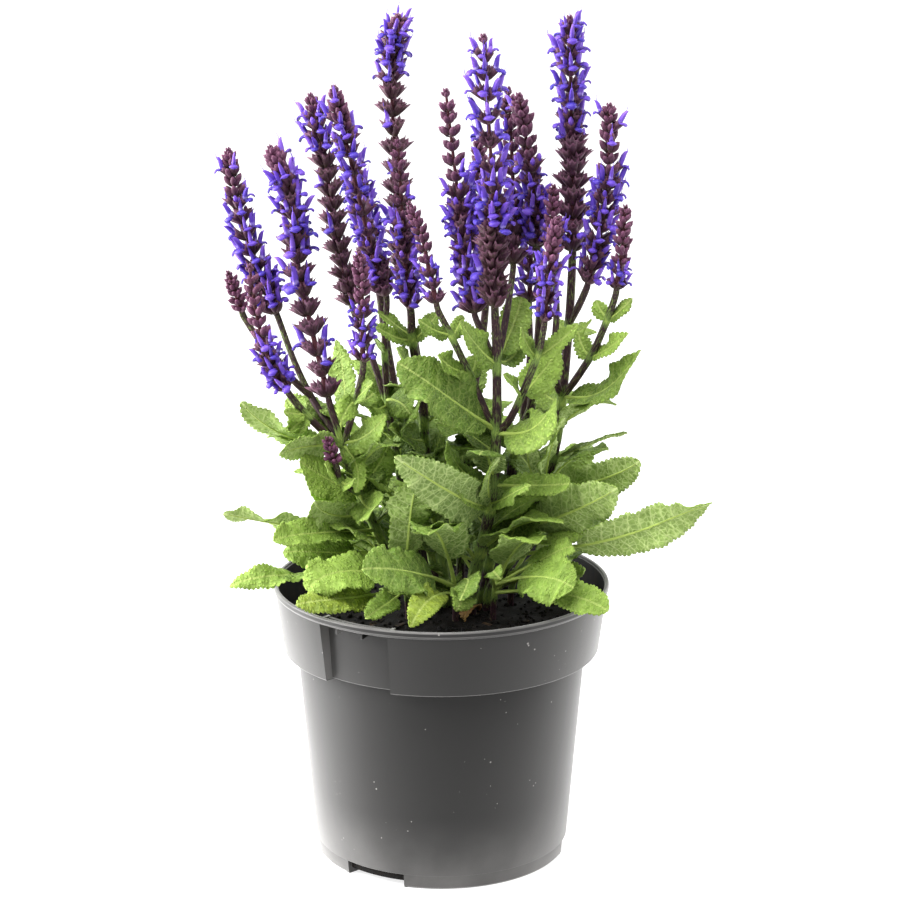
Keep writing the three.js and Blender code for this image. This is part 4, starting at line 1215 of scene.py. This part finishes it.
def leaf_finish(name, greens, rib_tone, rib_shares, sunk_tone, sunk_share, height):
    """One face of the leaves: its green by age, its ribs, its net and its puckered skin."""
    material, tree, shader = finish_named(name, {"Specular IOR Level": 0.3})
    pattern = place_node(tree, "Group", node_tree=veins).outputs
    look = stored(tree, "look")
    shift = carry_over(tree, pattern["Mottle"], 0.3, 0.7, -0.2, 0.2)
    youth_with_painted_light_and_shade = reckon(tree, "ADD", look["X"], shift, use_clamp=True)
    turning = reckon(tree, "MULTIPLY_ADD", look["Y"], shift, look["Y"], use_clamp=True)
    base = blend(tree, turning, run_through(tree, youth_with_painted_light_and_shade, greens), LEAF_YELLOW)
    for mask, tone, most in (("Pucker", sunk_tone, sunk_share), ("Net", rib_tone, rib_shares[2]),
                             ("Side", rib_tone, rib_shares[1]), ("Midrib", rib_tone, rib_shares[0])):
        share = reckon(tree, "MULTIPLY", pattern[mask], most)
        base = blend(tree, reckon(tree, "MULTIPLY", share, look["Z"]), base, tone)
    tree.links.new(base, shader.inputs["Base Color"])
    lines = reckon(tree, "MAXIMUM", pattern["Side"], pattern["Pucker"])
    tree.links.new(carry_over(tree, lines, 0, 1, 0.5, 0.72), shader.inputs["Roughness"])
    give_relief(tree, shader, 0.8, 0.001, reckon(tree, "MULTIPLY", lines, height))
    return material


# On the upper faces and the dry leaves the creases between puckers are darkened: painted shade.
leaf_upper = leaf_finish("leaf_upper", [(0, LEAF_OLD), (0.5, LEAF_FULL), (1, LEAF_YOUNG)],
                         VEIN_PALE, (0.45, 0.14, 0.16), CREASE_PAINTED_SHADE, 0.7, -1.0)
leaf_under = leaf_finish("leaf_under", [(0, LEAF_UNDER_OLD), (1, LEAF_UNDER_YOUNG)],
                         VEIN_UNDER, (0.9, 0.6, 0.5), VEIN_UNDER, 0.2, 0.6)
leaf_dry = leaf_finish("leaf_dry", [(0, DRY_BROWN), (1, DRY_TAN)],
                       DRY_TAN, (0.6, 0.3, 0.1), DRY_BROWN, 0.5, -1.0)

for stem in STEMS:
    stem_curves = curves_of(stem)
    # Low inside the clump the leaves are crowded, and darker as painted shade.
    inner = [[height + chance.uniform(-4, 4), chance.uniform(0, 360), chance.uniform(24, 36),
              chance.uniform(6, 22), chance.uniform(13, 18)]
             for height in INNER_HEIGHTS if stem["name"].startswith("leafy")]
    leaves = stem["leaves"] + [spread_leaf(entry, stem_curves)
                               for entry in stem["spread"] + inner]
    joints = [nearest(stem_curves, Vector(entry[0])) for entry in leaves]
    stalks = stalk_mesh()
    draw_stems(stalks, stem, stem_curves, joints)
    sheets = leaf_sheets()
    for k, entry in enumerate(leaves):
        reach = (Vector(entry[2]) - Vector(entry[0])).length
        youth_with_painted_light_and_shade = YOUTH - YOUTH_LOST * reach + chance.uniform(-YOUTH_SPREAD, YOUTH_SPREAD)
        youth_with_painted_light_and_shade = min(1, max(0, youth_with_painted_light_and_shade))
        # Leaves inside the clump are darkened: painted shade.
        youth_with_painted_light_and_shade -= INNER_PAINTED_SHADE if k >= len(leaves) - len(inner) else 0
        # Leaves far out to the left and right are lightened: painted light where the side light
        # falls.
        youth_with_painted_light_and_shade += OUTER_PAINTED_LIGHT * min(1, max(0, (abs(entry[2][0]) - OUTER_FROM) / OUTER_OVER))
        yellow = 0.6 if entry[5:] == ["yellow"] else 0
        look = (youth_with_painted_light_and_shade, yellow, chance.uniform(0.6, 1))
        grow_leaf(sheets, stalks, entry, stem_curves, wave_draw(), look)
    name = stem["name"].replace("leafy_stem_", "")
    stand_piece("stems_" + name, stalks, [stem_skin], [stem["name"]], STEM_SMOOTH)
    blades = stand_piece("leaves_" + name, sheets, [leaf_upper, leaf_under], [stem["name"]],
                         FULLY_ROUND)
    thicken(blades, 1)

# Dried leaves that have dropped onto the compost.
sheets, ribs = leaf_sheets(), stalk_mesh()
for entry in DRY_LEAVES:
    foot = Vector(entry[0])
    grow_leaf(sheets, ribs, entry, [lambda share, foot=foot: foot], wave_draw(),
              (chance.uniform(0.2, 0.9), 0, 1))
stand_piece("dry_leaf_ribs", ribs, [bark], ["compost"], STEM_SMOOTH)
thicken(stand_piece("dry_leaves", sheets, [leaf_dry], ["compost"], FULLY_ROUND), 0)

# ---- The flower spikes ------------------------------------------------------------------
# Whorls of two groups of three florets, each turned a quarter from the one below. A ribbed,
# toothed maroon calyx holds a violet flower: a narrow hood over a broad hanging lip. Above
# the flowers the calyces are still buds; below them they stand empty and turn brown.
SPIKE_STEP = 4
FIRST_WHORL = 2.0
WHORL_APART = 6.0
WHORL_CLOSE = 3.2
WHORL_CROWDED = 30
BUDS_CLOSER = 0.85
TIP_LENGTH = 14
TIP_SHRINK = 0.42
TIP_SCALES = 9
TIP_TURN = math.degrees(2.4)
FLORET_FOOT = 0.8
FLORET_TURN = 50
LEAN = 46
LEAN_SPENT = 40
BRACT_LEAN = 14
WITH_STYLE = 0.6
WITH_KNOB = 0.8
CALYX_RADII = ((0, 0.45), (1.0, 0.95), (3.2, 1.3), (5.4, 1.5))
CALYX_TEETH = {0: 0.9, 2: 0.5, 4: 1.3, 6: 1.3, 8: 0.5}
CALYX_NOTCH = 0.5
CALYX_THROAT = 3.8
BUD_RADII = ((0, 0.45), (1.0, 1.0), (2.6, 1.3), (3.9, 0.85), (4.9, 0.15))
CALYX_YOUNG = (0.095, 0.026, 0.062, 1)
CALYX_RIPE = (0.036, 0.010, 0.024, 1)
CALYX_BROWN = (0.042, 0.020, 0.017, 1)
CALYX_EDGE = (0.20, 0.068, 0.135, 1)
CALYX_GREEN = (0.07, 0.085, 0.025, 1)
FLOWER_BLUE = (0.028, 0.016, 0.26, 1)
FLOWER_VIOLET = (0.085, 0.034, 0.37, 1)
FLOWER_LILAC = (0.180, 0.080, 0.48, 1)
FLOWER_THROAT = (0.60, 0.50, 0.90, 1)

# How large and how ripe the calyces of each state are.
STATE_SIZE = {"young": 1.17, "bud": 1.17, "open": 1.12, "spent": 1.34, "faded": 1.3}
STATE_RIPE = {"young": 0.8, "bud": 0.8, "open": 0.8, "spent": 1.0, "faded": 1.5}


def floret_part():
    """An empty shape for florets. Its tone holds the share of the way to the tip, then the
    turn about a calyx or which petal it is, and how ripe it is."""
    part = bmesh.new()
    part.verts.layers.float_vector.new("tone")
    return part


def turned_cup(rings, segments):
    """A cup closed at its foot, drawn out ring by ring from height and radius pairs: the
    cup, the corners of its rim and the face in its mouth."""
    part = floret_part()
    tone = part.verts.layers.float_vector["tone"]
    bmesh.ops.create_circle(part, cap_ends=True, segments=segments, radius=1)
    drawn, mouth = draw_out(part, [
        Matrix.Translation((0, 0, height)) @ Matrix.Diagonal((radius, radius, 1, 1))
        for height, radius in rings])
    for (height, _), ring in zip(rings, drawn):
        for corner in ring:
            corner[tone] = (height / rings[-1][0], math.atan2(corner.co.x, corner.co.y), 0)
    return part, drawn[-1], mouth


def petal(part, rings, segments=6, lower=0):
    """A thin petal drawn out along the floret. Each ring has its place up and along, its
    width and thickness, how far its edges curl up, and its share of the way to the tip."""
    leaf = floret_part()
    tone = leaf.verts.layers.float_vector["tone"]
    bmesh.ops.create_circle(leaf, cap_ends=True, segments=segments, radius=1,
                            matrix=Matrix.Rotation(math.radians(90), 4, "Z"))
    places, lifts = [], []
    for i, (up, along, width, thick, curl, _) in enumerate(rings):
        ahead, behind = rings[min(i + 1, len(rings) - 1)], rings[max(i - 1, 0)]
        heading = Vector((0, ahead[0] - behind[0], ahead[1] - behind[1])).normalized()
        size = Matrix.Diagonal((width / 2, thick / 2, 1, 1))
        places.append(across(Vector((0, up, along)), heading) @ size)
        lifts.append(Vector((0, heading.z, -heading.y)) * curl)
    drawn = draw_out(leaf, places)[0]
    for (_, _, width, *_, share), lift, ring in zip(rings, lifts, drawn):
        for corner in ring:
            corner.co += lift * (2 * corner.co.x / width) ** 2
            corner[tone] = (share, lower, 0)
    gather(part, leaf)


# The calyx: ten ribs run into five teeth, the two lower ones longer, round a hollow throat.
cup, rim, mouth = turned_cup(CALYX_RADII, 10)
rim.sort(key=lambda corner: math.atan2(corner.co.x, corner.co.y) % math.tau)
for i, corner in enumerate(rim):
    tooth = CALYX_TEETH.get(i, -CALYX_NOTCH)
    corner.co += Vector((0.1 * corner.co.x, 0.1 * corner.co.y, 1)) * tooth
for corner in cup.verts:
    ribbed = 1 + 0.12 * math.cos(5 * math.atan2(corner.co.x, corner.co.y))
    corner.co.x, corner.co.y = corner.co.x * ribbed, corner.co.y * ribbed
for corner in pull(cup, mouth)[0]:
    corner.co = Vector((0.6 * corner.co.x, 0.6 * corner.co.y, CALYX_THROAT))
    corner[cup.verts.layers.float_vector["tone"]].x = 0.5
calyx_shape = kept(cup, "calyx")

# A closed calyx is a plain egg.
bud_shape = kept(turned_cup(BUD_RADII, 8)[0], "bud")

# The bract below each group: a broad pointed scale, curled up at its edges.
scale_leaf = floret_part()
petal(scale_leaf, [(0, 0, 1.0, 0.4, 0, 0), (-0.4, 1.2, 2.8, 0.4, 0.4, 0.25),
                   (-0.2, 2.8, 3.2, 0.35, 0.6, 0.5), (0.4, 4.3, 1.9, 0.3, 0.4, 0.8),
                   (0.9, 5.5, 0.3, 0.2, 0, 1)])
bract_shape = kept(scale_leaf, "bract")


def open_flower(name, rise, droop):
    """A flower: its tube in the calyx, the hood over it and the broad lip below, with two
    side lobes and a middle one. The wider it opens, the more they rise and droop."""
    flower = floret_part()
    petal(flower, [(0, 3.0, 1.4, 1.3, 0, 0), (0.1, 4.4, 1.8, 1.8, 0, 0.15),
                   (0.3, 5.7, 1.8, 2.0, 0, 0.3), (0.5 + 0.5 * rise, 7.1, 1.6, 2.2, 0, 0.5),
                   (0.6 + 1.0 * rise, 8.5, 1.3, 2.0, 0, 0.7),
                   (0.5 + 1.4 * rise, 9.8, 0.8, 1.4, 0, 0.88),
                   (0.1 + 1.5 * rise, 10.9, 0.2, 0.25, 0, 1)])
    petal(flower, [(-0.5, 4.9, 1.8, 0.9, 0, 0.3), (-1.2, 5.9, 4.2, 0.7, -0.5, 0.5),
                   (-1.4 - 0.5 * droop, 6.5, 2.8, 0.8, -0.3, 0.6),
                   (-1.5 - 1.1 * droop, 6.8 - 0.1 * droop, 4.3, 0.8, -0.6, 0.8),
                   (-1.6 - 1.8 * droop, 6.8 - 0.3 * droop, 3.4, 0.7, -0.5, 0.93),
                   (-1.6 - 2.1 * droop, 6.5 - 0.6 * droop, 0.9, 0.4, 0, 1)], lower=1)
    return kept(flower, name)


flower_shapes = [open_flower("flower_new", 0.5, 0.7), open_flower("flower", 0.9, 1),
                 open_flower("flower_wide", 1.3, 1.15)]
style = floret_part()
petal(style, [(1.4, 9.2, 0.3, 0.3, 0, 0.9), (1.9, 10.9, 0.26, 0.26, 0, 0.95),
              (2.9, 12.2, 0.2, 0.2, 0, 1)], segments=3)
style_shape = kept(style, "style")

# A flower about to open: a rounded violet tip in the mouth of its calyx.
knob = floret_part()
petal(knob, [(0, 3.0, 1.4, 1.4, 0, 0.4), (0.2, 4.8, 2.0, 1.9, 0, 0.6),
             (0.7, 6.2, 1.9, 1.6, 0, 0.8), (1.2, 7.1, 0.6, 0.5, 0, 1)])
knob_shape = kept(knob, "knob")


def seat(stand, around, out, up, lean, size):
    """A place on the spike: turned round it, set out and up from it and leant outward."""
    return (stand @ Matrix.Rotation(math.radians(around), 4, "Z")
            @ Matrix.Translation((0, -out, up)) @ Matrix.Rotation(math.radians(lean), 4, "X")
            @ Matrix.Scale(size, 4))


def set_shape(work, shape, place, ripeness):
    """Puts one kept shape in its place on the spike."""
    before = len(work.verts)
    work.from_mesh(shape)
    work.verts.ensure_lookup_table()
    added = work.verts[before:]
    bmesh.ops.transform(work, matrix=place, verts=added)
    tone = work.verts.layers.float_vector["tone"]
    for corner in added:
        corner[tone].z = ripeness


def set_floret(husks, blooms, place, state, open_share, young):
    """One floret by the state of its whorl: a closed calyx, or an open one that may hold a
    flower or the tip of one."""
    in_flower = chance.random() < open_share
    if state in ("young", "bud") and not in_flower:
        ripe = chance.uniform(0.0, 0.3) if state == "young" else 0.5 - 0.4 * young
        set_shape(husks, bud_shape, place, ripe)
        return
    set_shape(husks, calyx_shape, place, STATE_RIPE[state] + chance.uniform(-0.2, 0.25))
    if in_flower:
        set_shape(blooms, chance.choice(flower_shapes), place, chance.random())
        if chance.random() < WITH_STYLE:
            set_shape(blooms, style_shape, place, 0)
    elif state == "open" and chance.random() < WITH_KNOB:
        set_shape(blooms, knob_shape, place, chance.random())


def grow_spike(line, full, life):
    """One spike: its whorls of calyces and bracts, its flowers and its stalk."""
    at = soft_curve(line)
    tall = length_of(at)
    husks, blooms, stalk = floret_part(), floret_part(), stalk_mesh()
    draw_stem(stalk, at, max(6, round(tall / SPIKE_STEP)), lambda share: 1.15 - 0.6 * share,
              lambda share: -1)
    height, turn = FIRST_WHORL, chance.uniform(0, 90)
    while height < tall - 1:
        share = min(1, height / tall)
        state, open_share = next((kind, most) for upto, kind, most in life if share <= upto)
        along = direction(at, share)
        stand = across(at(share) - along * 2.0, along)
        left = max(0, tall - height)
        young = max(0, 1 - left / TIP_LENGTH)
        size = full * (1 - TIP_SHRINK * young ** 2) * STATE_SIZE[state]
        if state == "young":
            size = max(size, 0.92 - 0.36 * young ** 2)
        lean = LEAN_SPENT if state in ("spent", "faded") else LEAN
        lean -= 4 * share + 6 * young ** 2
        lowest = share < 0.1
        for under in (turn, turn + 180):
            bract_size = size * (1.15 if lowest else 0.7 + 0.3 * young)
            place = seat(stand, under, 0.7, -0.6, lean + BRACT_LEAN, bract_size)
            set_shape(husks, bract_shape, place, 1.4 if lowest else 0.5 - 0.5 * young)
            for side in (-1, 0, 1):
                around = under + side * FLORET_TURN + chance.uniform(-7, 7)
                tilt = lean - 5 * abs(side) + chance.uniform(-9, 9)
                grown = size * chance.uniform(0.9, 1.12) * (0.94 if side else 1)
                place = seat(stand, around, FLORET_FOOT, chance.uniform(-0.5, 0.5), tilt, grown)
                place @= Matrix.Rotation(math.radians(chance.uniform(-24, 24)), 4, "Z")
                set_floret(husks, blooms, place, state, open_share, young)
        apart = WHORL_CLOSE + (WHORL_APART - WHORL_CLOSE) * min(1, left / WHORL_CROWDED)
        height += full ** 0.3 * apart * (BUDS_CLOSER if state in ("young", "bud") else 1)
        turn += 90 + chance.uniform(-8, 8)

    # The tip: a tuft of the youngest buds and scales.
    along = direction(at, 1)
    for k in range(TIP_SCALES):
        stand = across(at(1) + along * (0.3 * k - 2.6), along)
        place = seat(stand, TIP_TURN * k, 0.6, 0, 40 - 4 * k, full * (0.56 - 0.02 * k))
        shape = bract_shape if k % 3 == 0 else bud_shape
        set_shape(husks, shape, place, chance.uniform(0, 0.2))
    return husks, blooms, stalk


# Calyces: pinkish when young, then dark maroon, then brown; ribbed and softly hairy.
calyx_skin, tree, shader = finish_named("calyx_skin", {
    "Roughness": 0.6, "Specular IOR Level": 0.3, "Sheen Weight": 0.12, "Sheen Roughness": 0.4,
    "Sheen Tint": (0.9, 0.5, 0.7, 1)})
parts = stored(tree, "tone")
spots = soft_noise(tree, place_node(tree, "TexCoord").outputs["Object"], 420, 3)
shift = carry_over(tree, spots, 0.3, 0.7, -0.2, 0.2)
ripe = reckon(tree, "MULTIPLY", reckon(tree, "ADD", parts["Z"], shift), 0.5, use_clamp=True)
tone = run_through(tree, ripe, [(0, CALYX_YOUNG), (0.4, CALYX_RIPE), (0.85, CALYX_BROWN)])
ribs = reckon(tree, "COSINE", reckon(tree, "MULTIPLY", parts["Y"], 10))
tone = blend(tree, carry_over(tree, ribs, -0.2, 1, 0, 0.4), tone, CALYX_YOUNG)
tone = blend(tree, carry_over(tree, parts["X"], 0, 0.45, 0.5, 0), tone, CALYX_GREEN)
tone = blend(tree, carry_over(tree, parts["X"], 0.75, 1, 0, 0.5), tone, CALYX_EDGE)
tree.links.new(tone, shader.inputs["Base Color"])
give_relief(tree, shader, 0.6, 0.0003, spots)

# Flowers: violet hoods over bluer lips, darker toward each petal's base, partly their own
# colour and partly painted shade, pale in the throat, with a faint sheen.
flower_skin, tree, shader = finish_named("flower_skin", {
    "Roughness": 0.5, "Specular IOR Level": 0.3, "Sheen Weight": 0.06, "Sheen Roughness": 0.35,
    "Sheen Tint": (0.6, 0.5, 1, 1)})
parts = stored(tree, "tone")
cloudy = soft_noise(tree, place_node(tree, "TexCoord").outputs["Object"], 260, 3)
lighter = reckon(tree, "ADD", cloudy, parts["Z"])
lighter = reckon(tree, "MULTIPLY_ADD", parts["Y"], -0.6, lighter)
# Toward each petal's base the colour darkens: partly its own colour, partly painted shade.
lighter = reckon(tree, "MULTIPLY_ADD", parts["X"], 0.7, lighter)
tone = run_through(tree, carry_over(tree, lighter, 0.3, 2.1),
                   [(0, FLOWER_BLUE), (0.5, FLOWER_VIOLET), (1, FLOWER_LILAC)])
beyond = reckon(tree, "ABSOLUTE", reckon(tree, "SUBTRACT", parts["X"], 0.34))
pale = carry_over(tree, beyond, 0.02, 0.12, 0.6, 0)
pale = reckon(tree, "MULTIPLY", pale, carry_over(tree, cloudy, 0.48, 0.62))
tree.links.new(blend(tree, pale, tone, FLOWER_THROAT), shader.inputs["Base Color"])
give_relief(tree, shader, 0.35, 0.0002, cloudy)

for name, line, full, life in SPIKES:
    husks, blooms, stalk = grow_spike(line, full, life)
    stand_piece(name + "_stalk", stalk, [stem_skin], [name], STEM_SMOOTH)
    stand_piece(name + "_calyces", husks, [calyx_skin], [name], FULLY_ROUND)
    if blooms.verts:
        stand_piece(name + "_flowers", blooms, [flower_skin], [name], FULLY_ROUND)
    else:
        blooms.free()
